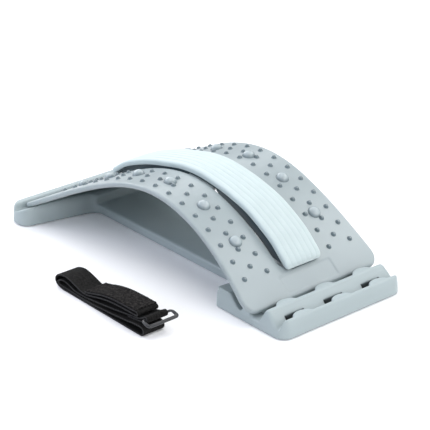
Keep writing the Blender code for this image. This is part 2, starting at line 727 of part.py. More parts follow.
def build_base(arch, parts, cutters, material):
    """Build the moulded base: plan and side profile crossed, web, lips, slots and ribbed underside."""
    bm = bmesh.new()
    corners = base_plan()
    rings = []
    for z, inset in ((-2.0, -0.1), (6.0, 0.25), (13.0, 0.6), (16.5, 1.1), (19.0, 2.1), (21.0, 3.6), (23.0, 6.2)):
        rings.append([(x, y, z * MM) for x, y in rounded_outline(corners, inset * MM)])
    loft_into(bm, rings)
    base = add_mesh_object("base", bm, parts, material)

    bm = bmesh.new()
    profile = base_side_profile(arch)
    reach = BASE_HEAD_HALF + 10 * MM
    loft_into(bm, [[(x, side * reach, z) for x, z in profile] for side in (-1, 1)])
    add_boolean(base, add_cutter("side_profile", bm, cutters), "INTERSECT")

    bm = bmesh.new()
    rings = []
    for x in (HEAD_WALL_NEAR_WEB - 14 * MM, BASE_FOOT_INNER_X + 9 * MM):
        top = WEB_HALF - 0.5 * MM
        ring = [(WEB_HALF, 0.0), (top, WEB_HEIGHT - WEB_ROUND)]
        for degrees in (30, 60, 90):
            angle = math.radians(degrees)
            ring.append((
                top - WEB_ROUND + WEB_ROUND * math.cos(angle),
                WEB_HEIGHT - WEB_ROUND + WEB_ROUND * math.sin(angle),
            ))
        ring += [(-y, z) for y, z in reversed(ring)]
        rings.append([(x, y, z) for y, z in ring])
    loft_into(bm, rings)
    add_boolean(base, add_cutter("add_web", bm, cutters), "UNION")

    bm = bmesh.new()
    for wall, top in zip(LIP_WALL_X, LIP_TOPS):
        for i in (-1, 0, 1):
            add_lip(bm, wall, i * LIP_SPACING, top)
    add_boolean(base, add_cutter("add_lips", bm, cutters), "UNION")

    bm = bmesh.new()
    add_cavities(bm)
    add_boolean(base, add_cutter("cut_underside", bm, cutters), "DIFFERENCE")

    bm = bmesh.new()
    slot_half = LIP_HALF + SLOT_SIDE_ROOM
    for wall, top in zip(LIP_WALL_X, LIP_TOPS):
        ceiling = top - LIP_THICKNESS
        for i in (-1, 0, 1):
            y = i * LIP_SPACING
            box_into(bm, (wall - SLOT_REACH, y - slot_half, 4.0 * MM), (wall - 2.4 * MM, y + slot_half, ceiling))
    add_boolean(base, add_cutter("cut_slots", bm, cutters), "DIFFERENCE")

    bm = bmesh.new()
    for _, x, y, top in PAD_PLACES:
        cylinder_into(bm, (x, y), PAD_RADIUS + PAD_WALL, 0.0, top, 20)
    add_boolean(base, add_cutter("add_bosses", bm, cutters), "UNION")

    bm = bmesh.new()
    for _, x, y, _ in PAD_PLACES:
        cylinder_into(bm, (x, y), PAD_RADIUS + PAD_SIDE_GAP, -2.0 * MM, PAD_RECESS, 20)
    add_boolean(base, add_cutter("cut_pad_recesses", bm, cutters), "DIFFERENCE")
    return base


def add_lip(bm, wall, y, top):
    """Add one half-oval lip that reaches over a notch."""
    ring = []
    for i in range(11):
        angle = math.pi * i / 10
        ring.append((wall - LIP_REACH * math.sin(angle), y + LIP_HALF * math.cos(angle)))
    ring += [(wall + 1.2 * MM, y - LIP_HALF + 0.6 * MM), (wall + 1.2 * MM, y + LIP_HALF - 0.6 * MM)]
    drop = 0.05 * MM
    rings = [[(px, py, z) for px, py in ring] for z in (top - LIP_THICKNESS - drop, top - drop)]
    loft_into(bm, rings)


def add_cavities(bm):
    """Add the boxes that hollow the base from below, with ribs left between them."""
    half_rib = RIB / 2
    low = -5 * MM
    foot_reach = BASE_FOOT_HALF - BASE_WALL - 3.5 * MM
    cell = foot_reach / 2
    slope_foot = BASE_FOOT_INNER_X + 16.0 * MM
    for a, b in ((half_rib, cell - half_rib), (cell + half_rib, foot_reach)):
        for side in (-1, 1):
            y0, y1 = sorted((side * a, side * b))
            box_into(bm, (BASE_FOOT_INNER_X + BASE_WALL, y0, low), (slope_foot, y1, FOOT_BAR_CEILING))
            box_into(bm, (slope_foot + RIB, y0, low), (BASE_HALF_LENGTH - BASE_WALL - 2.8 * MM, y1, NOTCH_CEILING))
    for side in (-1, 1):
        y0, y1 = sorted((side * half_rib, side * (WEB_HALF - BASE_WALL)))
        box_into(bm, (half_rib, y0, low), (BASE_FOOT_INNER_X - half_rib, y1, WEB_CEILING))
        box_into(bm, (HEAD_WALL_NEAR_WEB + RIB, y0, low), (-half_rib, y1, WEB_CEILING))
    head_reach = BASE_HEAD_HALF - 2 * BASE_WALL
    wall_slope = (HEAD_WALL_AT_END - HEAD_WALL_NEAR_WEB) / (BASE_HEAD_HALF - WEB_HALF)
    cell = head_reach / 3
    for i in range(3):
        a = i * cell + half_rib
        b = (i + 1) * cell - half_rib
        wall_x = HEAD_WALL_NEAR_WEB + wall_slope * max(b - WEB_HALF, 0.0)
        for side in (-1, 1):
            y0, y1 = sorted((side * a, side * b))
            box_into(bm, (BASE_WALL - BASE_HALF_LENGTH, y0, low), (wall_x - BASE_WALL, y1, HEAD_CEILING))


def build_pads(parts, material):
    """Build the four rubber pads under the base's corners."""
    for name, x, y, _ in PAD_PLACES:
        bm = bmesh.new()
        cylinder_into(bm, (0.0, 0.0), PAD_RADIUS, FLOOR_Z, PAD_RECESS - SEAT_GAP, 20)
        rim = [edge for edge in bm.edges if all(abs(v.co.z - FLOOR_Z) < 1e-6 for v in edge.verts)]
        bmesh.ops.bevel(bm, geom=rim, offset=0.35 * MM, segments=1, affect="EDGES")
        pad = add_mesh_object(name, bm, parts, material)
        pad.location = (x, y, 0.0)


def smooth_path(points, step):
    """Return a Catmull-Rom line through points, sampled about every step."""
    line = []
    last = len(points) - 1
    for i in range(last):
        a = points[max(i - 1, 0)]
        b = points[i]
        c = points[i + 1]
        d = points[min(i + 2, last)]
        count = max(1, int(round(math.dist(b, c) / step)))
        for k in range(count):
            t = k / count
            line.append(tuple(
                0.5 * (2 * q + (r - p) * t + (2 * p - 5 * q + 4 * r - s) * t ** 2 + (3 * q - p - 3 * r + s) * t ** 3)
                for p, q, r, s in zip(a, b, c, d)))
    line.append(points[-1])
    return line


def arc_points(centre, radius, first, last, count):
    """Return points on an arc between two angles in degrees."""
    points = []
    for i in range(count + 1):
        angle = math.radians(first + (last - first) * i / count)
        points.append((centre[0] + radius * math.cos(angle), centre[1] + radius * math.sin(angle)))
    return points


def ribbon_into(bm, line, width, thickness):
    """Loft a flat band of constant thickness along a line of (x, z, y) points."""
    rings = []
    for i in range(len(line)):
        before = line[max(i - 1, 0)]
        after = line[min(i + 1, len(line) - 1)]
        x, z, y = line[i]
        run = math.dist(before[:2], after[:2])
        normal = (-(after[1] - before[1]) / run, (after[0] - before[0]) / run)
        ring = []
        for side, rise in ((-1, 1), (1, 1), (1, -1), (-1, -1)):
            shift = rise * thickness / 2
            ring.append((x + shift * normal[0], y + side * width / 2, z + shift * normal[1]))
        rings.append(ring)
    loft_into(bm, rings)


def strap_line():
    """Return the strap's centre line from the tail sewn at the ring to the free end on top.

    The points are (x, z, y). The layers don't lie quite square on each other.
    """
    def at(aside, *pairs):
        return [(x * MM, z * MM + FLOOR_Z, STRAP_Y + aside) for x, z in pairs]

    def fold(aside, centre, radius, first, last, count):
        middle = (centre[0] * MM, centre[1] * MM + FLOOR_Z)
        return [(x, z, STRAP_Y + aside) for x, z in arc_points(middle, radius * MM, first, last, count)]

    low = LOWER_LAYERS_ASIDE
    turn = (RING_BAR + SEAT_GAP + STRAP_THICKNESS / 2) / MM
    bar = (RING_BACK[0] / MM, (RING_BACK[1] - FLOOR_Z) / MM)
    tail = at(TAIL_ASIDE, (75.0, 9.7), (82.0, 10.3), (88.0, 11.0), (94.0, 11.9))
    around_ring = fold(TAIL_ASIDE, bar, turn, -84, 116, 8)
    from_ring = at(TAIL_ASIDE, (97.2, 16.4), (93.5, 14.7), (88.0, 13.3), (82.0, 12.5))
    to_loop = at(0.0, (50.0, 9.6), (26.0, 6.6), (8.0, 4.95), (-6.0, 5.2), (-17.3, 8.0), (-25.5, 9.2))
    inner_loop = at(low / 2, (-31.0, 8.1), (-34.0, 5.6), (-31.0, 3.5), (-20.0, 2.95))
    to_fold = at(low, (8.0, 2.9), (30.0, 3.5), (55.0, 5.4), (78.0, 7.6), (90.0, 9.1))
    bottom_fold = fold(low, (99.6, 5.12), 4.25, 90, -90, 8)
    along_floor = at(low, (90.0, 0.87), (60.0, 0.87), (20.0, 0.87), (-12.0, 0.87), (-25.0, 0.9))
    outer_loop = at(low / 2, (-33.2, 1.7), (-37.1, 4.6), (-37.6, 8.4), (-35.0, 12.0), (-29.5, 14.4))
    over_loop = at(0.0, (-22.0, 15.1), (-13.6, 13.8), (-5.4, 11.6), (2.0, 9.3), (8.0, 8.3), (14.0, 8.7))
    to_top = at(0.0, (22.0, 10.4), (36.0, 13.8), (54.0, 16.4), (76.0, 17.5), (86.0, 17.6))
    top_fold = fold(0.0, (91.0, 19.55), 1.95, -90, 90, 6)
    free = at(0.0, (84.0, 21.4), (68.0, 21.1), (52.0, 20.1), (37.0, 17.6), (22.0, 13.5), (10.0, 10.7))
    line = tail + around_ring + from_ring + to_loop + inner_loop + to_fold + bottom_fold
    line += along_floor + outer_loop + over_loop + to_top + top_fold + free
    return line, [top_fold[-1]] + free


def build_strap(parts, webbing, pile):
    """Build the folded strap and the soft hook-and-loop face sewn on its top layer."""
    points, free = strap_line()
    bm = bmesh.new()
    ribbon_into(bm, smooth_path(points, 6.0 * MM), STRAP_WIDTH, STRAP_THICKNESS)
    add_mesh_object("strap", bm, parts, webbing)

    top = smooth_path(free, 6.0 * MM)
    lift = STRAP_THICKNESS / 2 + SEAT_GAP + PILE_THICKNESS / 2
    raised = []
    for i in range(len(top)):
        before = top[max(i - 1, 0)]
        after = top[min(i + 1, len(top) - 1)]
        run = math.dist(before, after)
        raised.append((
            top[i][0] + lift * (after[1] - before[1]) / run,
            top[i][1] - lift * (after[0] - before[0]) / run,
            top[i][2],
        ))
    bm = bmesh.new()
    ribbon_into(bm, raised[:-1], PILE_WIDTH, PILE_THICKNESS)
    add_mesh_object("pile_tape", bm, parts, pile)


def build_ring(parts, material):
    """Build the flat rectangular ring, with its object origin on the bar that the strap holds."""
    reach = math.dist(RING_BACK, RING_FRONT)
    tilt = math.atan2(RING_FRONT[1] - RING_BACK[1], RING_FRONT[0] - RING_BACK[0])
    half = RING_CLEAR / 2 + RING_BAR
    corners = ((0.0, -half), (reach, -half), (reach, half), (0.0, half))
    centre_line = rounded_outline([(x, y, 2.6 * MM) for x, y in corners], 0.0, 4)
    curve = bpy.data.curves.new("ring_centre_line", "CURVE")
    curve.dimensions = "3D"
    curve.fill_mode = "FULL"
    curve.bevel_depth = RING_BAR
    curve.bevel_resolution = 2
    spline = curve.splines.new("POLY")
    spline.points.add(len(centre_line) - 1)
    for point, (x, y) in zip(spline.points, centre_line):
        point.co = (x, y, 0.0, 1.0)
    spline.use_cyclic_u = True
    swept = bpy.data.objects.new("ring_centre_line", curve)
    bm = bmesh.new()
    bm.from_mesh(swept.to_mesh())
    swept.to_mesh_clear()
    bpy.data.objects.remove(swept)
    item = add_mesh_object("buckle_ring", bm, parts, material)
    item.location = (RING_BACK[0], STRAP_Y + RING_ASIDE, RING_BACK[1])
    item.rotation_euler = (0.0, -tilt, 0.0)


def main():
    """Build every sub-part of the back stretcher."""
    clear_scene()
    parts = make_collection("lumbar_back_stretcher")
    cutters = make_collection("cutters")
    plastic = make_material("grey_plastic", (0.54, 0.60, 0.62), 0.42)
    board_plastic = make_material("board_plastic", (0.60, 0.66, 0.68), 0.38)
    carrier_plastic = make_material("carrier_plastic", (0.33, 0.45, 0.47), 0.45)
    foam = make_material("pale_foam", (0.76, 0.86, 0.86), 0.75)
    webbing = make_material("black_webbing", (0.02, 0.02, 0.022), 0.85)
    pile = make_material("black_pile", (0.03, 0.029, 0.028), 0.98)
    black_plastic = make_material("black_plastic", (0.03, 0.03, 0.032), 0.3)
    rubber = make_material("grey_rubber", (0.12, 0.13, 0.13), 0.8)

    arch = Arch()
    hinge_x, hinge_z = seat_geometry(arch)[0]
    hinge = (hinge_x, 0.0, hinge_z)
    build_base(arch, parts, cutters, plastic)
    put_origin(build_board(arch, parts, cutters, board_plastic), hinge)
    put_origin(build_carrier(arch, parts, carrier_plastic), hinge)
    put_origin(build_foam(arch, parts, foam), hinge)
    build_pads(parts, rubber)
    build_strap(parts, webbing, pile)
    build_ring(parts, black_plastic)
    print("board hinge at", round(hinge_x, 6), round(hinge_z, 6))


main()
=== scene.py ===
"""Lumbar back stretcher: surfaces, small forms, floor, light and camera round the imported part."""

from __future__ import annotations

import logging
import math
from dataclasses import dataclass, field
from enum import Enum
from typing import Any, Callable, Iterable, Sequence

import bmesh
import bpy
from mathutils import Matrix, Vector, noise


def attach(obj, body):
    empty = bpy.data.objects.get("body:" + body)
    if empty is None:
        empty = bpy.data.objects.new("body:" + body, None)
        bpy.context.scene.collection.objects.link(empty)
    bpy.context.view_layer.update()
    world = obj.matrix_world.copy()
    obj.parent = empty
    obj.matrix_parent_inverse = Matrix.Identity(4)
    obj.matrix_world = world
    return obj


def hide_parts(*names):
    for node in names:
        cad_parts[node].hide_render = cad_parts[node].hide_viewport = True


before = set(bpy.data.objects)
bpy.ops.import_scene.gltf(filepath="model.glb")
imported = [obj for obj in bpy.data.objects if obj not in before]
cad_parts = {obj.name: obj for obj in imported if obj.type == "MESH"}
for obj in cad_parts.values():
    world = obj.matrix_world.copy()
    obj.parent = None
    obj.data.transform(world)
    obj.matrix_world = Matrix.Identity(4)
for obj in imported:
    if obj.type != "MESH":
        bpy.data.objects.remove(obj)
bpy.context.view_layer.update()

LOG = logging.getLogger("back_stretcher")
MM = 0.001
Point = tuple[float, float, float]


class Body(Enum):
    """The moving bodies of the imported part."""

    BASE = "base"
    BOARD = "board"
    STRAP = "strap"
    RING = "ring"


# Small helpers


def linear(hex_colour: str) -> tuple[float, float, float, float]:
    """Turn an sRGB hex colour into the linear colour that a shader wants.

    Args:
        hex_colour: Six hex digits after a hash sign.

    Returns:
        Linear red, green, blue and an alpha of 1.
    """
    parts = [int(hex_colour[i:i + 2], 16) / 255 for i in (1, 3, 5)]
    red, green, blue = (c / 12.92 if c <= 0.04045 else ((c + 0.055) / 1.055) ** 2.4 for c in parts)
    return (red, green, blue, 1.0)


def per_metre(size_mm: float) -> float:
    """Return the texture scale whose features are size_mm across."""
    return 1000.0 / size_mm


def add_node(
    tree: bpy.types.NodeTree,
    kind: str,
    settings: dict[str, Any] | None = None,
    values: dict[str | int, Any] | None = None,
    links: dict[str | int, bpy.types.NodeSocket] | None = None,
) -> bpy.types.Node:
    """Add one node with its settings, socket values and incoming links.

    Args:
        tree: The node tree that gets it.
        kind: The node's type name.
        settings: Properties of the node itself.
        values: Constants for its input sockets, by name or place.
        links: Sockets that feed its inputs, by name or place.

    Returns:
        The new node.
    """
    node = tree.nodes.new(kind)
    for key, value in (settings or {}).items():
        setattr(node, key, value)
    for key, value in (values or {}).items():
        node.inputs[key].default_value = value
    for key, socket in (links or {}).items():
        tree.links.new(socket, node.inputs[key])
    return node


def start_material(name: str) -> tuple[bpy.types.Material, bpy.types.NodeTree, bpy.types.Node]:
    """Start an empty Principled material.

    Args:
        name: The material's name.

    Returns:
        The material, its tree and its Principled node.
    """
    material = bpy.data.materials.new(name)
    material.use_nodes = True
    return material, material.node_tree, material.node_tree.nodes["Principled BSDF"]


# Finishes


@dataclass(frozen=True)
class MouldedPlastic:
    """Injection moulded polypropylene with a fine spark-eroded grain.

    The grain breaks up highlights into a soft sheen, and slow flow marks shift the tone a little.
    """

    name: str
    colour: str
    flow_colour: str
    roughness: float
    gloss_drift: float = 0.05
    grain_mm: float = 0.9
    grain_depth_mm: float = 0.022
    flow_mm: float = 46.0
    # Painted shade for the insides of the base's slots, mixed in by the attribute below.
    slot_shade_colour: str = "#0C0F10"
    slot_shade_attribute: str = "deep"

    def build(self) -> bpy.types.Material:
        """Return the node material."""
        material, tree, shader = start_material(self.name)
        # Little light gets into the real slots, so painted shade darkens their insides.
        deep = add_node(tree, "ShaderNodeAttribute", {"attribute_name": self.slot_shade_attribute})
        place = add_node(tree, "ShaderNodeTexCoord").outputs["Object"]
        # Real spark grain is about 0.1 mm. It is drawn at about 0.9 mm so that it shows at all.
        grain = add_node(
            tree, "ShaderNodeTexNoise",
            values={"Scale": per_metre(self.grain_mm), "Detail": 3.0, "Roughness": 0.6},
            links={"Vector": place})
        flow = add_node(
            tree, "ShaderNodeTexNoise",
            values={"Scale": per_metre(self.flow_mm), "Detail": 2.0, "Roughness": 0.5},
            links={"Vector": place})
        tone = add_node(
            tree, "ShaderNodeMix", {"data_type": "RGBA"},
            {"A": linear(self.colour), "B": linear(self.flow_colour)},
            {"Factor": flow.outputs["Fac"]})
        gloss = add_node(
            tree, "ShaderNodeMapRange",
            values={"To Min": self.roughness - self.gloss_drift,
                    "To Max": self.roughness + self.gloss_drift},
            links={"Value": flow.outputs["Fac"]})
        shaded = add_node(
            tree, "ShaderNodeMix", {"data_type": "RGBA"}, {"B": linear(self.slot_shade_colour)},
            {"A": tone.outputs["Result"], "Factor": deep.outputs["Fac"]})
        bump = add_node(
            tree, "ShaderNodeBump", values={"Strength": 0.6, "Distance": self.grain_depth_mm * MM},
            links={"Height": grain.outputs["Fac"]})
        tree.links.new(shaded.outputs["Result"], shader.inputs["Base Color"])
        tree.links.new(gloss.outputs["Result"], shader.inputs["Roughness"])
        tree.links.new(bump.outputs["Normal"], shader.inputs["Normal"])
        shader.inputs["IOR"].default_value = 1.49
        return material


@dataclass(frozen=True)
class StudPlastic:
    """The board's polypropylene on its studs, which are drawn smoother than the board's face.

    Painted shade: the studs' sides are drawn darker than their caps, as the real sides look dark beside lit
    caps.
    """

    name: str
    cap_colour: str
    side_shade_colour: str
    roughness: float
    grain_mm: float = 0.7
    grain_depth_mm: float = 0.02
    attribute: str = "side"

    def build(self) -> bpy.types.Material:
        """Return the node material."""
        material, tree, shader = start_material(self.name)
        side = add_node(tree, "ShaderNodeAttribute", {"attribute_name": self.attribute})
        place = add_node(tree, "ShaderNodeTexCoord").outputs["Object"]
        # The grain of about 0.1 mm is drawn at about 0.7 mm here, so that it shows.
        grain = add_node(
            tree, "ShaderNodeTexNoise", values={"Scale": per_metre(self.grain_mm), "Detail": 2.0},
            links={"Vector": place})
        # Painted shade: the side colour darkens the studs' steep sides.
        tone = add_node(
            tree, "ShaderNodeMix", {"data_type": "RGBA"},
            {"A": linear(self.cap_colour), "B": linear(self.side_shade_colour)},
            {"Factor": side.outputs["Fac"]})
        bump = add_node(
            tree, "ShaderNodeBump", values={"Strength": 0.4, "Distance": self.grain_depth_mm * MM},
            links={"Height": grain.outputs["Fac"]})
        tree.links.new(tone.outputs["Result"], shader.inputs["Base Color"])
        tree.links.new(bump.outputs["Normal"], shader.inputs["Normal"])
        shader.inputs["Roughness"].default_value = self.roughness
        shader.inputs["IOR"].default_value = 1.49
        return material


@dataclass(frozen=True)
class ClosedCellFoam:
    """Moulded EVA foam. Its skin is matt and dimpled by closed cells, and light sinks a little way in."""

    name: str
    colour: str
    shade_colour: str
    cell_mm: float = 0.8
    dimple_mm: float = 0.03
    cloud_mm: float = 14.0
    scatter_mm: float = 6.0
    roughness: float = 0.72

    def build(self) -> bpy.types.Material:
        """Return the node material."""
        material, tree, shader = start_material(self.name)
        place = add_node(tree, "ShaderNodeTexCoord").outputs["Object"]
        # Cells are about 0.5 mm, drawn at about 0.8 mm so that they show.
        cells = add_node(
            tree, "ShaderNodeTexVoronoi", {"feature": "SMOOTH_F1"},
            {"Scale": per_metre(self.cell_mm), "Smoothness": 0.6}, {"Vector": place})
        cloud = add_node(
            tree, "ShaderNodeTexNoise", values={"Scale": per_metre(self.cloud_mm), "Detail": 4.0},
            links={"Vector": place})
        tone = add_node(
            tree, "ShaderNodeMix", {"data_type": "RGBA"},
            {"A": linear(self.colour), "B": linear(self.shade_colour)},
            {"Factor": cloud.outputs["Fac"]})
        bump = add_node(
            tree, "ShaderNodeBump", values={"Strength": 0.5, "Distance": self.dimple_mm * MM},
            links={"Height": cells.outputs["Distance"]})
        tree.links.new(tone.outputs["Result"], shader.inputs["Base Color"])
        tree.links.new(bump.outputs["Normal"], shader.inputs["Normal"])
        shader.inputs["Roughness"].default_value = self.roughness
        shader.inputs["IOR"].default_value = 1.45
        shader.inputs["Sheen Weight"].default_value = 0.15
        shader.inputs["Subsurface Weight"].default_value = 0.35
        shader.inputs["Subsurface Radius"].default_value = (1.0, 1.0, 1.0)
        shader.inputs["Subsurface Scale"].default_value = self.scatter_mm * MM
        return material


@dataclass(frozen=True)
class Webbing:
    """Black elastic polyester webbing, plain woven; its bound edges carry grey lines of painted highlight.

    The UV map holds metres along and round the band, so threads keep their size round every fold.
    """

    name: str
    dark: str
    light: str
    edge_highlight: str
    width: float
    thickness: float
    thread_mm: float = 1.1
    fluff_mm: float = 2.6
    relief_mm: float = 0.12
    line_core_mm: float = 0.1
    line_half_mm: float = 0.45

    def build(self) -> bpy.types.Material:
        """Return the node material."""
        material, tree, shader = start_material(self.name)
        cloth = add_node(tree, "ShaderNodeUVMap", {"uv_map": "cloth"})
        split = add_node(tree, "ShaderNodeSeparateXYZ", links={"Vector": cloth.outputs["UV"]})
        # Threads are about 0.4 mm in the real band, drawn at about 1.1 mm so that they show.
        across_threads, along_threads = (
            add_node(
                tree, "ShaderNodeTexWave",
                {"bands_direction": direction, "wave_profile": "SIN"},
                {"Scale": per_metre(self.thread_mm) * math.pi / 10, "Distortion": 0.6, "Detail": 1.0},
                {"Vector": cloth.outputs["UV"]})
            for direction in ("X", "Y"))
        weave = add_node(
            tree, "ShaderNodeMath", {"operation": "MULTIPLY"},
            links={0: across_threads.outputs["Fac"], 1: along_threads.outputs["Fac"]})
        # Stray fibres are far finer than a thread, drawn as clumps of a few millimetres so that they show.
        fluff = add_node(
            tree, "ShaderNodeTexNoise",
            values={"Scale": per_metre(self.fluff_mm), "Detail": 4.0, "Roughness": 0.8},
            links={"Vector": cloth.outputs["UV"]})
        height = add_node(
            tree, "ShaderNodeMath", {"operation": "ADD"},
            links={0: weave.outputs["Value"], 1: fluff.outputs["Fac"]})
        flecks = add_node(
            tree, "ShaderNodeMapRange", values={"From Min": 0.42, "From Max": 0.68},
            links={"Value": fluff.outputs["Fac"]})
        body = add_node(
            tree, "ShaderNodeMix", {"data_type": "RGBA"},
            {"A": linear(self.dark), "B": linear(self.light)}, {"Factor": flecks.outputs["Result"]})
        # Painted highlight: grey lines along the band's four long corners, where its edges catch light.
        off_centre = add_node(
            tree, "ShaderNodeMath", {"operation": "ABSOLUTE"}, links={0: split.outputs["Y"]})
        from_edge = add_node(
            tree, "ShaderNodeMath", {"operation": "SUBTRACT"},
            {1: self.width / 2 + self.thickness / 2}, {0: off_centre.outputs["Value"]})
        away = add_node(
            tree, "ShaderNodeMath", {"operation": "ABSOLUTE"}, links={0: from_edge.outputs["Value"]})
        off_corner = add_node(
            tree, "ShaderNodeMath", {"operation": "SUBTRACT"}, {1: self.thickness / 2},
            {0: away.outputs["Value"]})
        corner = add_node(
            tree, "ShaderNodeMath", {"operation": "ABSOLUTE"}, links={0: off_corner.outputs["Value"]})
        edge = add_node(
            tree, "ShaderNodeMapRange",
            values={"From Min": self.line_core_mm * MM, "From Max": self.line_half_mm * MM,
                    "To Min": 1.0, "To Max": 0.0},
            links={"Value": corner.outputs["Value"]})
        tone = add_node(
            tree, "ShaderNodeMix", {"data_type": "RGBA"}, {"B": linear(self.edge_highlight)},
            {"A": body.outputs["Result"], "Factor": edge.outputs["Result"]})
        bump = add_node(
            tree, "ShaderNodeBump", values={"Strength": 0.8, "Distance": self.relief_mm * MM},
            links={"Height": height.outputs["Value"]})
        tree.links.new(tone.outputs["Result"], shader.inputs["Base Color"])
        tree.links.new(bump.outputs["Normal"], shader.inputs["Normal"])
        shader.inputs["Roughness"].default_value = 0.9
        shader.inputs["Specular IOR Level"].default_value = 0.2
        return material


@dataclass(frozen=True)
class LoopPile:
    """The soft side of hook-and-loop tape: a mat of nylon loops, deep black with brown-grey flecks."""

    name: str
    dark: str
    fleck: str
    loop_mm: float = 2.5
    tuft_mm: float = 1.7
    nap_mm: float = 0.35

    def build(self) -> bpy.types.Material:
        """Return the node material."""
        material, tree, shader = start_material(self.name)
        place = add_node(tree, "ShaderNodeTexCoord").outputs["Object"]
        # Loops are about 0.5 mm. Their clumps are drawn at a few millimetres so that they show.
        loops = add_node(
            tree, "ShaderNodeTexNoise",
            values={"Scale": per_metre(self.loop_mm), "Detail": 5.0, "Roughness": 0.85},
            links={"Vector": place})
        tufts = add_node(
            tree, "ShaderNodeTexVoronoi", values={"Scale": per_metre(self.tuft_mm)},
            links={"Vector": place})
        height = add_node(
            tree, "ShaderNodeMath", {"operation": "SUBTRACT"},
            links={0: loops.outputs["Fac"], 1: tufts.outputs["Distance"]})
        flecks = add_node(
            tree, "ShaderNodeMapRange", values={"From Min": 0.45, "From Max": 0.64},
            links={"Value": loops.outputs["Fac"]})
        tone = add_node(
            tree, "ShaderNodeMix", {"data_type": "RGBA"},
            {"A": linear(self.dark), "B": linear(self.fleck)}, {"Factor": flecks.outputs["Result"]})
        bump = add_node(
            tree, "ShaderNodeBump", values={"Strength": 1.0, "Distance": self.nap_mm * MM},
            links={"Height": height.outputs["Value"]})
        tree.links.new(tone.outputs["Result"], shader.inputs["Base Color"])
        tree.links.new(bump.outputs["Normal"], shader.inputs["Normal"])
        shader.inputs["Roughness"].default_value = 0.97
        shader.inputs["Specular IOR Level"].default_value = 0.15
        return material


@dataclass(frozen=True)
class PlainSheen:
    """A smooth moulded part with a faint scuffed bloom, such as the acetal ring or the rubber pads."""

    name: str
    colour: str
    scuff_colour: str
    roughness: float
    scuff_mm: float = 3.0

    def build(self) -> bpy.types.Material:
        """Return the node material."""
        material, tree, shader = start_material(self.name)
        place = add_node(tree, "ShaderNodeTexCoord").outputs["Object"]
        scuff = add_node(
            tree, "ShaderNodeTexNoise",
            values={"Scale": per_metre(self.scuff_mm), "Detail": 5.0, "Roughness": 0.65},
            links={"Vector": place})
        tone = add_node(
            tree, "ShaderNodeMix", {"data_type": "RGBA"},
            {"A": linear(self.colour), "B": linear(self.scuff_colour)}, {"Factor": scuff.outputs["Fac"]})
        gloss = add_node(
            tree, "ShaderNodeMapRange",
            values={"To Min": self.roughness - 0.06, "To Max": self.roughness + 0.08},
            links={"Value": scuff.outputs["Fac"]})
        tree.links.new(tone.outputs["Result"], shader.inputs["Base Color"])
        tree.links.new(gloss.outputs["Result"], shader.inputs["Roughness"])
        return material


# Shapes


@dataclass
class Arch:
    """The line that the board's top face follows, from its head end to its foot end.

    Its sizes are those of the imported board.
    """

    head_end: tuple[float, float] = (-190.0 * MM, 16.2 * MM)
    head_slope: float = 26.6
    head_handle: float = 78.0 * MM
    crown: tuple[float, float] = (-0.5 * MM, 89.4 * MM)
    crown_handles: tuple[float, float] = (60.0 * MM, 61.0 * MM)
    foot_end: tuple[float, float] = (165.0 * MM, 9.8 * MM)
    foot_slope: float = 40.3
    foot_handle: float = 63.0 * MM
    steps: int = 240
    points: list[tuple[float, float]] = field(default_factory=list)
    lengths: list[float] = field(default_factory=list)

    def __post_init__(self) -> None:
        """Sample the two spans."""
        head, foot = math.radians(self.head_slope), math.radians(self.foot_slope)
        crown = Vector(self.crown)
        spans = (
            (Vector(self.head_end),
             Vector(self.head_end) + self.head_handle * Vector((math.cos(head), math.sin(head))),
             crown - Vector((self.crown_handles[0], 0.0)), crown),
            (crown, crown + Vector((self.crown_handles[1], 0.0)),
             Vector(self.foot_end) + self.foot_handle * Vector((-math.cos(foot), math.sin(foot))),
             Vector(self.foot_end)),
        )
        self.points = [tuple(spans[0][0])]
        for a, b, c, d in spans:
            for i in range(1, self.steps + 1):
                t = i / self.steps
                u = 1.0 - t
                self.points.append(tuple(u ** 3 * a + 3 * u * u * t * b + 3 * u * t * t * c + t ** 3 * d))
        self.lengths = [0.0]
        for a, b in zip(self.points, self.points[1:]):
            self.lengths.append(self.lengths[-1] + math.dist(a, b))

    def length_at(self, x: float) -> float:
        """Find where the line passes a place along the base.

        Args:
            x: The place.

        Returns:
            The arc length there, from the head end.
        """
        for i, (a, b) in enumerate(zip(self.points, self.points[1:])):
            if a[0] <= x <= b[0]:
                share = (x - a[0]) / (b[0] - a[0])
                return self.lengths[i] + share * (self.lengths[i + 1] - self.lengths[i])
        return self.lengths[-1]

    def stand(self, s: float, y: float = 0.0) -> Matrix:
        """Return the frame on the board's face at arc length s: X along, Y across, Z out.

        Args:
            s: Arc length from the head end.
            y: Place across the board.

        Returns:
            The matrix that puts a shape made at the origin there.
        """
        last = len(self.lengths) - 2
        i = 0
        while i < last and self.lengths[i + 1] < s:
            i += 1
        a, b = self.points[i], self.points[i + 1]
        share = (s - self.lengths[i]) / (self.lengths[i + 1] - self.lengths[i])
        before, after = self.points[max(i - 1, 0)], self.points[min(i + 2, len(self.points) - 1)]
        run = math.dist(before, after)
        tx, tz = (after[0] - before[0]) / run, (after[1] - before[1]) / run
        x, z = a[0] + share * (b[0] - a[0]), a[1] + share * (b[1] - a[1])
        return Matrix(((tx, 0.0, -tz, x), (0.0, 1.0, 0.0, y), (tz, 0.0, tx, z), (0.0, 0.0, 0.0, 1.0)))


def keep_piece(
    name: str, bm: bmesh.types.BMesh, finish: bpy.types.Material, crease_degrees: float = 40.0,
) -> bpy.types.Object:
    """Store a bmesh as a smooth-shaded piece at the origin.

    Args:
        name: The piece's name.
        bm: Its shape, which is freed here.
        finish: Its material.
        crease_degrees: Edges that turn more than this stay sharp.

    Returns:
        The new object, linked to the scene.
    """
    limit = math.radians(crease_degrees)
    for face in bm.faces:
        face.smooth = True
    for edge in bm.edges:
        edge.smooth = edge.calc_face_angle(0.0) < limit
    mesh = bpy.data.meshes.new(name)
    bm.to_mesh(mesh)
    bm.free()
    mesh.materials.append(finish)
    piece = bpy.data.objects.new(name, mesh)
    bpy.context.scene.collection.objects.link(piece)
    return piece


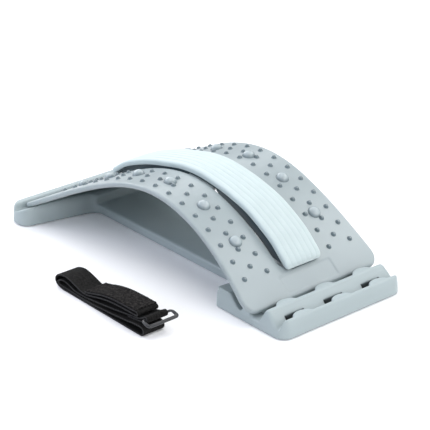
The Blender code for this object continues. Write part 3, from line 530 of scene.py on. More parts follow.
def merged_copy(node: str, weld: float = 0.002 * MM, flat_degrees: float = 0.6) -> bmesh.types.BMesh:
    """Copy a CAD node, join its loose triangles and dissolve its flat facets.

    Args:
        node: The node's name.
        weld: Points closer than this are joined.
        flat_degrees: Edges that turn less than this are dissolved.

    Returns:
        The copy.
    """
    bm = bmesh.new()
    bm.from_mesh(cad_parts[node].data)
    bmesh.ops.remove_doubles(bm, verts=bm.verts, dist=weld)
    bmesh.ops.dissolve_limit(
        bm, angle_limit=math.radians(flat_degrees), use_dissolve_boundaries=False,
        verts=bm.verts, edges=bm.edges)
    return bm


def level(bm: bmesh.types.BMesh, arch: Arch, beside: float, above: float) -> None:
    """Press what stands on the board's face down into it, so that finer studs can take its place.

    Args:
        bm: The board's merged copy.
        arch: The line of its top face.
        beside: Only points at least this far from the board's middle move.
        above: Only points that stand higher than this over the line move.
    """
    line = [Vector(p) for p in arch.points]
    stride = 6
    for vert in bm.verts:
        if abs(vert.co.y) < beside:
            continue
        spot = Vector((vert.co.x, vert.co.z))
        rough = min(range(0, len(line), stride), key=lambda k: (line[k] - spot).length_squared)
        near = range(max(rough - stride, 1), min(rough + stride + 1, len(line) - 1))
        i = min(near, key=lambda k: (line[k] - spot).length_squared)
        along = (line[i + 1] - line[i - 1]).normalized()
        out = Vector((-along.y, along.x))
        rise = (spot - line[i]).dot(out)
        if rise > above:
            vert.co -= Vector((out.x, 0.0, out.y)) * rise


def rounded_casting(
    name: str, bm: bmesh.types.BMesh, voxel: float, passes: int, share: float,
) -> bmesh.types.BMesh:
    """Round every edge of a moulding the way a polished mould does.

    Args:
        name: Name of the working object.
        bm: The sharp shape, which is freed here.
        voxel: Size of the grid that it is cast in.
        passes: Smoothing passes over the cast.
        share: Share of the cast's triangles that is kept.

    Returns:
        The rounded shape.
    """
    mesh = bpy.data.meshes.new(name)
    bm.to_mesh(mesh)
    bm.free()
    blank = bpy.data.objects.new(name, mesh)
    bpy.context.scene.collection.objects.link(blank)
    cast = blank.modifiers.new("cast", "REMESH")
    cast.mode = "VOXEL"
    cast.voxel_size = voxel
    polish = blank.modifiers.new("polish", "SMOOTH")
    polish.factor = 0.5
    polish.iterations = passes
    thin = blank.modifiers.new("thin", "DECIMATE")
    thin.ratio = share
    rounded = blank.evaluated_get(bpy.context.evaluated_depsgraph_get()).to_mesh()
    result = bmesh.new()
    result.from_mesh(rounded)
    bpy.data.objects.remove(blank)
    return result


def swept(
    rings: Sequence[Sequence[Point]],
    places: Sequence[Sequence[tuple[float, float]]],
    weld: float = 0.0005 * MM,
) -> bmesh.types.BMesh:
    """Sweep a closed section through rings, weld its seam and close its ends.

    Args:
        rings: The section at each station, all with the same count of points.
        places: The UV place, in metres, of each point, with one more place per ring for the seam.
        weld: Points closer than this are joined.

    Returns:
        The closed shape with a UV map named cloth.
    """
    along, around = len(rings) - 1, len(rings[0])
    bm = bmesh.new()
    bmesh.ops.create_grid(bm, x_segments=along, y_segments=around, size=1.0)
    cloth = bm.loops.layers.uv.new("cloth")
    spots: dict[bmesh.types.BMVert, tuple[int, int]] = {}
    for vert in bm.verts:
        spots[vert] = (round((vert.co.x + 1) / 2 * along), round((vert.co.y + 1) / 2 * around))
    for face in bm.faces:
        for loop in face.loops:
            i, j = spots[loop.vert]
            loop[cloth].uv = places[i][j]
    for vert, (i, j) in spots.items():
        vert.co = rings[i][j % around]
    bmesh.ops.remove_doubles(bm, verts=bm.verts, dist=weld)
    bmesh.ops.holes_fill(bm, edges=[edge for edge in bm.edges if edge.is_boundary], sides=0)
    bmesh.ops.recalc_face_normals(bm, faces=bm.faces)
    return bm


def glide(points: Sequence[Point], step: float) -> list[Vector]:
    """Return a smooth line through points, sampled about every step.

    Args:
        points: The points it passes.
        step: Space between samples, in metres.

    Returns:
        The samples, ends included.
    """
    knots = [Vector(p) for p in points]
    line: list[Vector] = []
    for i in range(len(knots) - 1):
        a, b = knots[max(i - 1, 0)], knots[i]
        c, d = knots[i + 1], knots[min(i + 2, len(knots) - 1)]
        count = max(1, round((c - b).length / step))
        for k in range(count):
            t = k / count
            line.append(0.5 * (
                2 * b + (c - a) * t
                + (2 * a - 5 * b + 4 * c - d) * t ** 2
                + (3 * b - a - 3 * c + d) * t ** 3))
    line.append(knots[-1])
    return line


def ease_through(points: Sequence[tuple[float, float]], x: float) -> float:
    """Read a smooth curve through points, which doesn't overshoot between them.

    Args:
        points: Its (x, value) points, in the order of x.
        x: Where it is read.

    Returns:
        Its value there. Past its ends it stays level.
    """
    if x <= points[0][0]:
        return points[0][1]
    if x >= points[-1][0]:
        return points[-1][1]
    slopes = [0.0]
    for low, here, high in zip(points, points[1:], points[2:]):
        before = (here[1] - low[1]) / (here[0] - low[0])
        after = (high[1] - here[1]) / (high[0] - here[0])
        slopes.append(0.0 if before * after <= 0.0 else 2 * before * after / (before + after))
    slopes.append(0.0)
    i = max(k for k in range(len(points) - 1) if points[k][0] <= x)
    (xa, va), (xb, vb) = points[i], points[i + 1]
    span = xb - xa
    t = (x - xa) / span
    return ((2 * t ** 3 - 3 * t ** 2 + 1) * va + (t ** 3 - 2 * t ** 2 + t) * span * slopes[i]
            + (3 * t ** 2 - 2 * t ** 3) * vb + (t ** 3 - t ** 2) * span * slopes[i + 1])


def corner_pull(distance: float, radius: float) -> float:
    """Work out how far a rounded corner draws a side in.

    Args:
        distance: How far from the end that is asked.
        radius: The corner's radius.

    Returns:
        The draw, which is nothing past the corner.
    """
    if distance >= radius:
        return 0.0
    return radius - math.sqrt(max(radius ** 2 - (radius - distance) ** 2, 0.0))


# Sub-assemblies


@dataclass
class Base:
    """The moulded base with its notches, lips and pads.

    Each of its three rows of slots is given by the x of the wall behind it and the height of its ceiling.
    A slot runs from slot_from to slot_to before that wall, and the painted shade inside it fades out over
    slot_fade.
    """

    shell: MouldedPlastic
    rubber: PlainSheen
    cast_grid: float = 0.9 * MM
    cast_share: float = 0.3
    polish_passes: int = 12
    crease_degrees: float = 75.0
    slot_walls: tuple[tuple[float, float], ...] = (
        (139.8 * MM, 12.4 * MM), (168.8 * MM, 19.7 * MM), (192.0 * MM, 17.0 * MM))
    slot_columns: tuple[int, ...] = (-1, 0, 1)
    slot_spacing: float = 50.4 * MM
    slot_half: float = 12.2 * MM
    slot_from: float = 12.8 * MM
    slot_to: float = 2.0 * MM
    slot_side_margin: float = 0.4 * MM
    slot_top_margin: float = 0.2 * MM
    slot_fade: float = 0.5 * MM
    foot_bar_from: float = 150.0 * MM
    foot_bar_low: float = 5.0 * MM
    foot_bar_blend: float = 9.0 * MM
    foot_bar_half: float = 80.5 * MM
    foot_bar_front: float = 197.4 * MM
    foot_bar_corner: float = 12.5 * MM
    foot_bar_round: float = 7.0 * MM
    pads: tuple[str, ...] = ("pad_foot_near", "pad_foot_far", "pad_head_near", "pad_head_far")

    def foot_bar_end(self, x: float) -> float:
        """Work out how far the foot bar reaches to either side, with its rounded corners.

        Args:
            x: The place along the base.

        Returns:
            Half the foot bar's width there.
        """
        corner = self.foot_bar_corner
        into = max(0.0, x - self.foot_bar_front + corner)
        return self.foot_bar_half - corner + math.sqrt(max(0.0, corner ** 2 - into ** 2))

    def depth_in_slot(self, spot: Vector) -> float:
        """Tell whether a point lies in one of the nine slots below the lips.

        Args:
            spot: The point.

        Returns:
            1 inside a slot, 0 outside them all, and a share between near a slot's border.
        """
        for wall, ceiling in self.slot_walls:
            for column in self.slot_columns:
                inside = min(
                    spot.x - (wall - self.slot_from),
                    wall - self.slot_to - spot.x,
                    self.slot_half + self.slot_side_margin - abs(spot.y - column * self.slot_spacing),
                    ceiling + self.slot_top_margin - spot.z)
                if inside > 0.0:
                    return min(1.0, inside / self.slot_fade)
        return 0.0

    def build(self) -> list[bpy.types.Object]:
        """Build the base's shell and dress its pads.

        Returns:
            The pieces that ride on the base.
        """
        cast = rounded_casting(
            "base_cast", merged_copy("base"), self.cast_grid, self.polish_passes, self.cast_share)
        deep = cast.verts.layers.float.new(self.shell.slot_shade_attribute)
        for vert in cast.verts:
            # Painted shade inside the slots, where little light gets in.
            vert[deep] = self.depth_in_slot(vert.co)
            if vert.co.x > self.foot_bar_from and vert.co.z > self.foot_bar_low:
                share = min(1.0, (vert.co.z - self.foot_bar_low) / self.foot_bar_blend)
                from_end = self.foot_bar_end(vert.co.x) - abs(vert.co.y)
                vert.co.z -= share * corner_pull(from_end, self.foot_bar_round)
        piece = keep_piece("base_shell", cast, self.shell.build(), self.crease_degrees)
        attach(piece, Body.BASE.value)
        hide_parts("base")
        rubber = self.rubber.build()
        for name in self.pads:
            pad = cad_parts[name]
            pad.data.materials.clear()
            pad.data.materials.append(rubber)
        return [piece]


@dataclass
class Board:
    """The arched board with its studs.

    A stud's profile is given in millimetres, from its foot to its top, as (radius, rise, shade) points.
    The shade is how much of the darker side colour, which is painted shade, shows.
    """

    arch: Arch
    shell: MouldedPlastic
    stud: StudPlastic
    cast_grid: float = 0.8 * MM
    cast_share: float = 0.3
    polish_passes: int = 8
    crease_degrees: float = 75.0
    stud_crease_degrees: float = 60.0
    studs_beside: float = 30.0 * MM
    pressed_above: float = 0.02 * MM
    weld: float = 0.001 * MM
    first_x: float = 130.7 * MM
    row_step: float = 10.52 * MM
    rows: int = 31
    outer: float = 70.0 * MM
    middle: float = 55.5 * MM
    inner: float = 41.3 * MM
    dome_column: float = 52.4 * MM
    dome_shift: float = 1.7 * MM
    first_dome_row: int = 4
    dome_rows_apart: int = 5
    nub_sides: int = 14
    nub: tuple[Point, ...] = (
        (3.2, -0.15, 0.1), (2.75, 0.12, 0.7), (2.55, 0.5, 1.0), (2.05, 1.4, 1.0),
        (1.7, 2.1, 1.0), (1.35, 2.48, 0.85), (0.75, 2.66, 0.7), (0.0, 2.72, 0.6))
    dome_sides: int = 28
    dome_radius: float = 6.5
    dome_height: float = 5.5
    dome_foot: tuple[Point, ...] = ((7.4, -0.5, 0.4), (6.8, 0.02, 0.9))

    def build(self) -> list[bpy.types.Object]:
        """Build the board's shell and its studs.

        Returns:
            The pieces that ride on the board.
        """
        plate = merged_copy("board")
        level(plate, self.arch, self.studs_beside, self.pressed_above)
        cast = rounded_casting("board_cast", plate, self.cast_grid, self.polish_passes, self.cast_share)
        shell = keep_piece("board_shell", cast, self.shell.build(), self.crease_degrees)
        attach(shell, Body.BOARD.value)
        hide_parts("board")
        studs = self.build_studs()
        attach(studs, Body.BOARD.value)
        return [shell, studs]

    def stud_places(self) -> Iterable[tuple[float, float, bool]]:
        """Go through the studs, row by row from the foot end.

        Returns:
            Each stud's arc length, its place across, and whether it is a dome.
        """
        first = self.arch.length_at(self.first_x)
        for row in range(self.rows):
            s = first - row * self.row_step
            dome = row >= self.first_dome_row and (row - self.first_dome_row) % self.dome_rows_apart == 0
            if row % 2 == 0:
                columns = (self.outer, self.inner)
            else:
                columns = () if dome else (self.middle,)
            for column in columns:
                yield s, -column, False
                yield s, column, False
            if dome:
                yield s + self.dome_shift, -self.dome_column, True
                yield s + self.dome_shift, self.dome_column, True

    def dome_profile(self) -> list[Point]:
        """Round a dome's cap over its foot.

        Returns:
            The dome's profile, whose shade fades towards the top.
        """
        profile = list(self.dome_foot)
        for degrees in range(10, 91, 10):
            angle = math.radians(degrees)
            shade = max(0.0, self.dome_foot[-1][2] - degrees / 45)
            profile.append((self.dome_radius * math.cos(angle), self.dome_height * math.sin(angle), shade))
        return profile

    def spin_stud(
        self, bm: bmesh.types.BMesh, side: Any, profile: Sequence[Point], sides: int,
    ) -> list[bmesh.types.BMVert]:
        """Spin one stud round the upright line through the origin.

        Args:
            bm: The shape that gets it.
            side: The layer that holds its shade.
            profile: Its profile.
            sides: How many sides it has.

        Returns:
            Its points.
        """
        verts = []
        for radius, rise, shade in profile:
            vert = bm.verts.new((radius * MM, 0.0, rise * MM))
            vert[side] = shade
            verts.append(vert)
        edges = [bm.edges.new(pair) for pair in zip(verts, verts[1:])]
        bmesh.ops.spin(
            bm, geom=verts + edges, cent=(0, 0, 0), axis=(0, 0, 1), angle=2 * math.pi,
            steps=sides, use_merge=True, use_duplicate=False)
        faces = {f for v in verts for f in v.link_faces}
        grown = set(verts)
        more = grown
        while more:
            more = {v for f in faces for v in f.verts} - grown
            grown |= more
            faces |= {f for v in more for f in v.link_faces}
        return list(grown)

    def build_studs(self) -> bpy.types.Object:
        """Build every nub and dome with its small root fillet and rounded cap.

        Returns:
            One piece with all of them.
        """
        bm = bmesh.new()
        side = bm.verts.layers.float.new(self.stud.attribute)
        dome_profile = self.dome_profile()
        for s, y, dome in self.stud_places():
            if dome:
                stud = self.spin_stud(bm, side, dome_profile, self.dome_sides)
            else:
                stud = self.spin_stud(bm, side, self.nub, self.nub_sides)
            bmesh.ops.transform(bm, matrix=self.arch.stand(s, y), verts=stud)
        bmesh.ops.remove_doubles(bm, verts=bm.verts, dist=self.weld)
        bmesh.ops.recalc_face_normals(bm, faces=bm.faces)
        return keep_piece("board_studs", bm, self.stud.build(), self.stud_crease_degrees)


@dataclass
class SpineStrip:
    """The springy carrier strip and the ribbed foam on it.

    The strip's rise over the board is given as (x, rise) points. It lands past both of the board's openings
    and in the recess of the bridge between them.
    """

    arch: Arch
    carrier: MouldedPlastic
    foam: ClosedCellFoam
    head_x: float = -137.0 * MM
    foot_x: float = 137.0 * MM
    carrier_thickness: float = 1.8 * MM
    seat_gap: float = 0.3 * MM
    bridge_recess: float = 1.6 * MM
    rise: tuple[tuple[float, float], ...] = (
        (head_x, seat_gap), (-112.0 * MM, 3.4 * MM), (-76.0 * MM, 1.4 * MM),
        (-40.0 * MM, seat_gap - bridge_recess), (20.0 * MM, seat_gap - bridge_recess),
        (52.0 * MM, 0.6 * MM), (82.0 * MM, 3.5 * MM), (108.0 * MM, 3.8 * MM), (foot_x, seat_gap))
    skirt_spans: tuple[tuple[float, float], ...] = ((-124.0 * MM, -13.0 * MM), (32.0 * MM, 129.0 * MM))
    skirt_depth: float = 10.0 * MM
    skirt_wall: float = 1.6 * MM
    skirt_out: float = 20.6 * MM
    skirt_steps: int = 40
    skirt_end_steps: int = 6
    skirt_end_share: float = 0.25
    skirt_crease_degrees: float = 30.0
    half: float = 23.1 * MM
    thickness: float = 5.8 * MM
    crown: float = 1.0 * MM
    edge_round: float = 2.2 * MM
    edge_share: float = 0.42
    edge_degrees: tuple[int, ...] = (0, 22, 45, 68)
    under_in: float = 0.7 * MM
    under_cut: float = 0.2 * MM
    under_up: float = 0.9 * MM
    grooves: int = 6
    groove_depth: float = 0.6 * MM
    groove_half: float = 1.1 * MM
    groove_fading: float = 0.65
    end_corner: float = 5.0 * MM
    end_narrowing: float = 0.75
    end_thinning: float = 0.62
    head_roll: float = 5.0 * MM
    foot_taper: float = 9.0 * MM
    deepest_roll: float = 6.0 * MM
    steps_across: int = 64
    steps_along: int = 110
    foam_crease_degrees: float = 50.0

    def build(self) -> list[bpy.types.Object]:
        """Build the carrier and the foam.

        Returns:
            The pieces, which ride on the board.
        """
        carrier = keep_piece("carrier_strip", merged_copy("spine_carrier"), self.carrier.build())
        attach(carrier, Body.BOARD.value)
        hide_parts("spine_carrier")
        skirts = self.build_skirts(carrier.data.materials[0])
        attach(skirts, Body.BOARD.value)
        foam = self.build_foam()
        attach(foam, Body.BOARD.value)
        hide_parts("foam_pad")
        return [carrier, skirts, foam]

    def skirt_section(self, side: int, low: float, high: float, step: int) -> list[Point]:
        """Place one section of a skirt, which is shallower near the skirt's ends.

        Args:
            side: 1 or -1, for the two sides of the carrier.
            low: Arc length of the skirt's head end.
            high: Arc length of its foot end.
            step: Which of its sections, from its head end.

        Returns:
            The section's four corners.
        """
        stand = self.arch.stand(low + (high - low) * step / self.skirt_steps)
        top = ease_through(self.rise, stand.translation.x) + self.seat_gap
        from_end = min(step, self.skirt_steps - step) / self.skirt_end_steps
        bottom = top - self.skirt_depth * min(1.0, self.skirt_end_share + from_end)
        inner = self.skirt_out - self.skirt_wall
        corners = ((self.skirt_out, top), (inner, top), (inner, bottom), (self.skirt_out, bottom))
        return [tuple(stand @ Vector((0.0, side * y, rise))) for y, rise in corners]

    def build_skirts(self, finish: bpy.types.Material) -> bpy.types.Object:
        """Build the dark skirts that hang from the carrier into the board's openings: painted shade there.

        Args:
            finish: The carrier's material.

        Returns:
            One piece with all four skirts.
        """
        bm = bmesh.new()
        for low_x, high_x in self.skirt_spans:
            low, high = self.arch.length_at(low_x), self.arch.length_at(high_x)
            for side in (-1, 1):
                rings = [self.skirt_section(side, low, high, i) for i in range(self.skirt_steps + 1)]
                no_places = [[(0.0, 0.0)] * (len(rings[0]) + 1)] * len(rings)
                wall = swept(rings, no_places)
                mesh = bpy.data.meshes.new("skirt")
                wall.to_mesh(mesh)
                wall.free()
                bm.from_mesh(mesh)
                bpy.data.meshes.remove(mesh)
        return keep_piece("carrier_shade_skirts", bm, finish, self.skirt_crease_degrees)

    def section(
        self, half: float, bottom: float, height: float, groove: float,
    ) -> list[tuple[float, float]]:
        """Draw the foam's ribbed section as (across, rise) pairs.

        Args:
            half: Half its width.
            bottom: Rise of its underside over the board.
            height: Its thickness at the edges.
            groove: Depth of the grooves between its ribs.

        Returns:
            The closed section, anticlockwise from its lower right corner as seen from the foot end.
        """
        edge = min(self.edge_round, height * self.edge_share)
        top = bottom + height
        rim = [
            (half - self.under_in, bottom),
            (half - self.under_cut, bottom + self.under_cut),
            (half, bottom + self.under_up)]
        rim += [
            (half - edge + edge * math.cos(a), top - edge + edge * math.sin(a))
            for a in (math.radians(d) for d in self.edge_degrees)]
        flat = half - edge
        pitch = 2 * half / (self.grooves + 1)
        centres = [half - (i + 1) * pitch for i in range(self.grooves)]
        face = []
        for i in range(self.steps_across + 1):
            y = flat - 2 * flat * i / self.steps_across
            dip = sum(math.exp(-((y - c) / self.groove_half) ** 2) for c in centres)
            crown = self.crown * (1 - (y / half) ** 2) * height / self.thickness
            face.append((y, top + crown - groove * dip))
        return rim + face + [(-y, rise) for y, rise in reversed(rim)]

    def build_foam(self) -> bpy.types.Object:
        """Build the foam with its ribs, crown and rolled ends.

        Returns:
            The foam piece.
        """
        low, high = self.arch.length_at(self.head_x), self.arch.length_at(self.foot_x)
        ends = [self.end_corner * (1 - math.cos(math.radians(a))) for a in range(0, 91, 9)]
        between = high - low - 2 * ends[-1]
        inner = [low + ends[-1] + between * i / self.steps_along for i in range(1, self.steps_along)]
        rings, places = [], []
        for s in sorted([low + e for e in ends] + [high - e for e in ends] + inner):
            stand = self.arch.stand(s)
            x = stand.translation.x
            bottom = ease_through(self.rise, x) + self.carrier_thickness + self.seat_gap
            half = self.half - self.end_narrowing * (
                corner_pull(s - low, self.end_corner) + corner_pull(high - s, self.end_corner))
            drop = corner_pull(s - low, self.head_roll) + corner_pull(high - s, self.foot_taper)
            height = self.thickness - self.end_thinning * min(drop, self.deepest_roll)
            groove = self.groove_depth * (1 - self.groove_fading * min(drop / self.head_roll, 1.0))
            pairs = self.section(half, bottom, height, groove)
            rings.append([tuple(stand @ Vector((0.0, y, rise))) for y, rise in pairs])
            places.append([(s, i * MM) for i in range(len(pairs) + 1)])
        return keep_piece("foam_strip", swept(rings, places), self.foam.build(), self.foam_crease_degrees)


@dataclass
class Strap:
    """The folded strap with its pile tape, lying beside the base, and its ring.

    The strap's line is one run of points that follows the folds in the photograph.
    """

    webbing: Webbing
    pile: LoopPile
    ring: PlainSheen
    floor: float = -0.6 * MM
    middle: float = -158.3 * MM
    width: float = 25.8 * MM
    thickness: float = 1.7 * MM
    step: float = 2.4 * MM
    steps_across: int = 12
    roll_share: float = 0.42
    roll_cut: float = 0.3
    crease_degrees: float = 70.0
    pile_width: float = 25.1 * MM
    pile_thickness: float = 1.0 * MM
    pile_step: float = 1.2 * MM
    pile_steps_short: int = 2
    fine_fuzz: float = 0.34 * MM
    fine_fuzz_mm: float = 1.5
    coarse_fuzz: float = 0.2 * MM
    coarse_fuzz_mm: float = 4.0
    trim_crease_degrees: float = 80.0
    seat_gap: float = 0.3 * MM
    ring_bar: float = 1.4 * MM
    ring_back: tuple[float, float] = (102.0, 16.4)
    ring_full_from: float = 104.5 * MM
    ring_swell: float = 0.55 * MM

    def at(self, aside: float, *pairs: tuple[float, float]) -> list[Point]:
        """Return points of the strap's middle line from (x, height) pairs in millimetres."""
        return [(x * MM, self.middle + aside * MM, z * MM + self.floor) for x, z in pairs]

    def fold(
        self, aside: float, centre: tuple[float, float], radius: float,
        first: float, last: float, count: int,
    ) -> list[Point]:
        """Return points round one fold.

        Args:
            aside: How far this layer lies off the strap's middle, in millimetres.
            centre: The fold's centre, in millimetres.
            radius: Its radius, in millimetres.
            first: Angle of its first point, in degrees.
            last: Angle of its last point, in degrees.
            count: Steps between them.

        Returns:
            The points, in metres.
        """
        angles = [math.radians(first + (last - first) * i / count) for i in range(count + 1)]
        return self.at(aside, *(
            (centre[0] + radius * math.cos(a), centre[1] + radius * math.sin(a)) for a in angles))

    def line(self) -> tuple[list[Point], list[Point]]:
        """Lay the strap's line from its sewn end, round the ring and through its folds to its free end.

        Returns:
            The whole line's points, and those of its top layer alone.
        """
        low, tail_side = -1.6, 2.4
        turn = (self.ring_bar + self.seat_gap + self.thickness / 2) / MM
        tail = self.at(tail_side, (75.0, 9.7), (82.0, 10.3), (88.0, 11.0), (94.0, 11.9))
        around_ring = self.fold(tail_side, self.ring_back, turn, -84, 116, 8)
        from_ring = self.at(tail_side, (97.2, 16.4), (93.5, 14.7), (88.0, 13.3), (82.0, 12.5))
        to_loop = self.at(
            0.0, (50.0, 9.6), (26.0, 6.6), (8.0, 4.95), (-6.0, 5.2), (-17.3, 8.0), (-25.5, 9.2))
        inner_loop = self.at(low / 2, (-31.0, 8.1), (-34.0, 5.6), (-31.0, 3.5), (-20.0, 2.95))
        to_fold = self.at(low, (8.0, 2.9), (30.0, 3.5), (55.0, 5.4), (78.0, 7.6), (90.0, 9.1))
        bottom_fold = self.fold(low, (99.6, 5.12), 4.25, 90, -90, 8)
        along_floor = self.at(low, (90.0, 0.87), (60.0, 0.87), (20.0, 0.87), (-12.0, 0.87), (-25.0, 0.9))
        outer_loop = self.at(
            low / 2, (-33.2, 1.7), (-37.1, 4.6), (-37.6, 8.4), (-35.0, 12.0), (-29.5, 14.4))
        over_loop = self.at(
            0.0, (-22.0, 15.1), (-13.6, 13.8), (-5.4, 11.6), (2.0, 9.3), (8.0, 8.3), (14.0, 8.7))
        to_top = self.at(0.0, (22.0, 10.4), (36.0, 13.8), (54.0, 16.4), (76.0, 17.5), (86.0, 17.6))
        top_fold = self.fold(0.0, (91.0, 19.55), 1.95, -90, 90, 6)
        free = self.at(
            0.0, (84.0, 21.4), (68.0, 21.1), (52.0, 20.1), (37.0, 17.6), (22.0, 13.5), (10.0, 10.7))
        line = tail + around_ring + from_ring + to_loop + inner_loop + to_fold + bottom_fold
        line += along_floor + outer_loop + over_loop + to_top + top_fold + free
        return line, [top_fold[-1]] + free

    def band(
        self, line: Sequence[Vector], width: float, thickness: float, lift: float,
        ruffle: Callable[[Vector, float], float],
    ) -> bmesh.types.BMesh:
        """Sweep a flat band with rolled edges along a line.

        Args:
            line: Its middle line.
            width: Its width.
            thickness: Its thickness.
            lift: How far it lies off the line, to the side that is up where the line runs to the head.
            ruffle: Extra rise of a point, from the point and its height in the band's section.

        Returns:
            The closed band with its cloth UV map.
        """
        half, roll = width / 2, thickness * self.roll_share
        cut = roll * self.roll_cut
        half_outline = [
            (-half + roll + (width - 2 * roll) * i / self.steps_across, thickness / 2)
            for i in range(self.steps_across + 1)]
        half_outline += [(half - cut, thickness / 2 - cut), (half, 0.0), (half - cut, cut - thickness / 2)]
        outline = half_outline + [(-y, -z) for y, z in half_outline]
        marks = []
        for y, z in outline:
            if z == 0.0:
                over = half + thickness / 2
            elif z > 0:
                over = abs(y)
            else:
                over = self.thickness + half + (half - abs(y))
            marks.append(math.copysign(over, y))
        marks.append(marks[0])
        rings, places, run = [], [], 0.0
        for i, here in enumerate(line):
            before, after = line[max(i - 1, 0)], line[min(i + 1, len(line) - 1)]
            run += (here - before).length
            along = Vector((after.x - before.x, 0.0, after.z - before.z)).normalized()
            out = Vector((along.z, 0.0, -along.x))
            middle = here + lift * out
            ring = []
            for y, z in outline:
                spot = middle + Vector((0.0, y, 0.0)) - z * out
                ring.append(tuple(spot + ruffle(spot, z) * out))
            rings.append(ring)
            places.append([(run, mark) for mark in marks])
        return swept(rings, places)

    def pile_fuzz(self, spot: Vector, z: float) -> float:
        """Work out the pile's uneven rise.

        Args:
            spot: A point of the tape.
            z: Its height in the tape's section, which is above 0 on the side that lies on the strap.

        Returns:
            The rise, which is nothing on that side.
        """
        if z > 0:
            return 0.0
        fine = self.fine_fuzz * noise.noise(spot * per_metre(self.fine_fuzz_mm))
        coarse = self.coarse_fuzz * noise.noise(spot * per_metre(self.coarse_fuzz_mm))
        return fine + coarse

    def build(self) -> list[bpy.types.Object]:
        """Build the strap, the pile tape and the ring.

        Returns:
            The pieces.
        """
        points, free = self.line()
        line = glide(points, self.step)
        strap = keep_piece(
            "folded_strap", self.band(line, self.width, self.thickness, 0.0, lambda spot, z: 0.0),
            self.webbing.build(), self.crease_degrees)
        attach(strap, Body.STRAP.value)
        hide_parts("strap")

        lift = self.thickness / 2 + self.seat_gap + self.pile_thickness / 2
        top = glide(free, self.pile_step)[:-self.pile_steps_short]
        tape = keep_piece(
            "pile_face", self.band(top, self.pile_width, self.pile_thickness, lift, self.pile_fuzz),
            self.pile.build(), self.trim_crease_degrees)
        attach(tape, Body.STRAP.value)
        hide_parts("pile_tape")

        loop = merged_copy("buckle_ring")
        loop.normal_update()
        full = [(vert, vert.normal.copy()) for vert in loop.verts if vert.co.x > self.ring_full_from]
        for vert, out in full:
            vert.co += self.ring_swell * out
        ring = keep_piece("ring_loop", loop, self.ring.build(), self.trim_crease_degrees)
        rounding = ring.modifiers.new("round_bar", "SUBSURF")
        rounding.levels = rounding.render_levels = 1
        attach(ring, Body.RING.value)
        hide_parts("buckle_ring")
        return [strap, tape, ring]


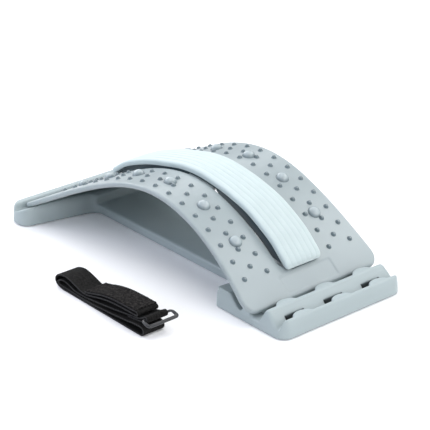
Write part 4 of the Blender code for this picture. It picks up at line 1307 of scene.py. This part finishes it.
@dataclass
class Studio:
    """The floor, the soft lights and the camera.

    The camera's place, gaze and lens were fitted to the grid of nubs in the photograph.
    """

    eye: Point = (1.2281, -1.0415, 0.7815)
    gaze: Point = (-0.69121, 0.58866, -0.41917)
    lens: float = 144.14
    sensor: float = 36.0
    floor_colour: str = "#FBFBFC"
    floor_half: float = 4.0
    floor_drop: float = 0.62 * MM
    glow_from: float = 0.9
    glow_full: float = 3.0
    glow_strength: float = 0.9
    lit_spot: Point = (0.0, 0.0, 0.03)
    softbox_power: float = 12.0
    surround_colour: str = "#EEF3FF"
    surround_strength: float = 0.2

    def build(self) -> None:
        """Build the floor, the lights and the camera."""
        self.build_floor()
        self.build_lights()
        self.build_camera()

    def build_floor(self) -> None:
        """Lay one pale, faintly glossy floor under the pads."""
        bm = bmesh.new()
        bmesh.ops.create_grid(bm, x_segments=1, y_segments=1, size=self.floor_half)
        bmesh.ops.translate(bm, vec=(0.0, 0.0, -self.floor_drop), verts=bm.verts)
        material, tree, shader = start_material("pale_floor")
        # The floor glows softly well away from the object, so that it stays pale out to its edge.
        place = add_node(tree, "ShaderNodeTexCoord").outputs["Object"]
        away = add_node(tree, "ShaderNodeVectorMath", {"operation": "LENGTH"}, links={0: place})
        glow = add_node(
            tree, "ShaderNodeMapRange",
            values={"From Min": self.glow_from, "From Max": self.glow_full, "To Max": self.glow_strength},
            links={"Value": away.outputs["Value"]})
        tree.links.new(glow.outputs["Result"], shader.inputs["Emission Strength"])
        shader.inputs["Emission Color"].default_value = linear("#FFFFFF")
        shader.inputs["Base Color"].default_value = linear(self.floor_colour)
        shader.inputs["Roughness"].default_value = 0.35
        shader.inputs["Specular IOR Level"].default_value = 0.25
        keep_piece("floor", bm, material)

    def add_softbox(self, name: str, place: Point, size: float, power: float, colour: str) -> None:
        """Add one square soft light that faces the object.

        Args:
            name: Its name.
            place: Where it stands.
            size: Its side, in metres.
            power: Its power, in watts.
            colour: Its sRGB hex colour.
        """
        lamp = bpy.data.lights.new(name, "AREA")
        lamp.size = size
        lamp.energy = power
        lamp.color = linear(colour)[:3]
        holder = bpy.data.objects.new(name, lamp)
        holder.location = place
        holder.rotation_mode = "QUATERNION"
        holder.rotation_quaternion = (Vector(self.lit_spot) - Vector(place)).to_track_quat("-Z", "Y")
        bpy.context.scene.collection.objects.link(holder)

    def build_lights(self) -> None:
        """Ring the object with softboxes, as for a catalogue shot, with a strong one overhead.

        A softbox has a name, a place, a side in metres, a share of softbox_power and a colour.
        """
        white, cool = "#FFFFFF", "#ECF1FF"
        softboxes = (
            ("top", (0.0, 0.0, 2.2), 1.6, 1.75, white),
            ("far_key", (0.5, 1.5, 1.7), 0.9, 1.25, white),
            ("far_card", (-0.3, 1.8, 1.2), 1.2, 0.5, white),
            ("head", (-2.0, 0.0, 1.2), 1.2, 2.0, white),
            ("head_far", (-1.5, 1.0, 1.4), 1.2, 1.0, white),
            ("head_near", (-1.5, -1.5, 1.2), 1.2, 2.0, cool),
            ("near", (0.3, -2.0, 1.2), 1.2, 1.0, cool),
            ("foot", (2.0, -0.2, 1.2), 1.2, 1.0, white),
            ("foot_low", (2.2, 0.0, 0.5), 0.8, 1.0, white),
            ("foot_far", (1.6, 1.2, 1.2), 1.2, 1.0, white),
        )
        for name, place, size, share, colour in softboxes:
            self.add_softbox(name, place, size, share * self.softbox_power, colour)
        world = bpy.data.worlds.new("dim_surround")
        world.use_nodes = True
        back = world.node_tree.nodes["Background"]
        back.inputs["Color"].default_value = linear(self.surround_colour)
        back.inputs["Strength"].default_value = self.surround_strength
        bpy.context.scene.world = world
        bpy.context.scene.view_settings.view_transform = "Standard"

    def build_camera(self) -> None:
        """Put the camera where the photograph was taken from."""
        data = bpy.data.cameras.new("photo_camera")
        data.lens = self.lens
        data.sensor_width = self.sensor
        camera = bpy.data.objects.new("photo_camera", data)
        camera.location = self.eye
        camera.rotation_mode = "QUATERNION"
        camera.rotation_quaternion = Vector(self.gaze).to_track_quat("-Z", "Y")
        bpy.context.scene.collection.objects.link(camera)
        bpy.context.scene.camera = camera


def main() -> None:
    """Build the studio and every sub-assembly."""
    logging.basicConfig(level=logging.INFO, format="%(name)s: %(message)s")
    arch = Arch()
    Studio().build()
    assemblies = (
        Base(
            MouldedPlastic("moulded_polypropylene_base", "#9EAAAC", "#98A4A6", 0.42),
            PlainSheen("thermoplastic_rubber_pads", "#2A2D2E", "#3A3D3E", 0.8)),
        Board(
            arch,
            MouldedPlastic("moulded_polypropylene_board", "#95A0A2", "#919B9E", 0.38),
            # The studs' second colour is painted shade on their sides.
            StudPlastic("moulded_polypropylene_studs", "#A0ABAE", "#5F6D72", 0.2)),
        SpineStrip(
            arch,
            # The carrier's teal is drawn very dark, as painted shade in the gaps beside the foam.
            MouldedPlastic("moulded_polypropylene_carrier_painted_shade", "#2E4147", "#2A3C42", 0.4),
            ClosedCellFoam("moulded_eva_foam", "#BBC8C9", "#B5C2C3")),
        Strap(
            Webbing(
                "woven_polyester_webbing", "#040404", "#242322", "#454547", Strap.width, Strap.thickness),
            LoopPile("nylon_loop_pile", "#040404", "#343130"),
            PlainSheen("moulded_acetal_ring", "#1B1C1E", "#2C2D30", 0.3)),
    )
    for assembly in assemblies:
        for piece in assembly.build():
            LOG.info("%s: %s, %d faces", type(assembly).__name__, piece.name, len(piece.data.polygons))


if __name__ == "__main__":
    main()
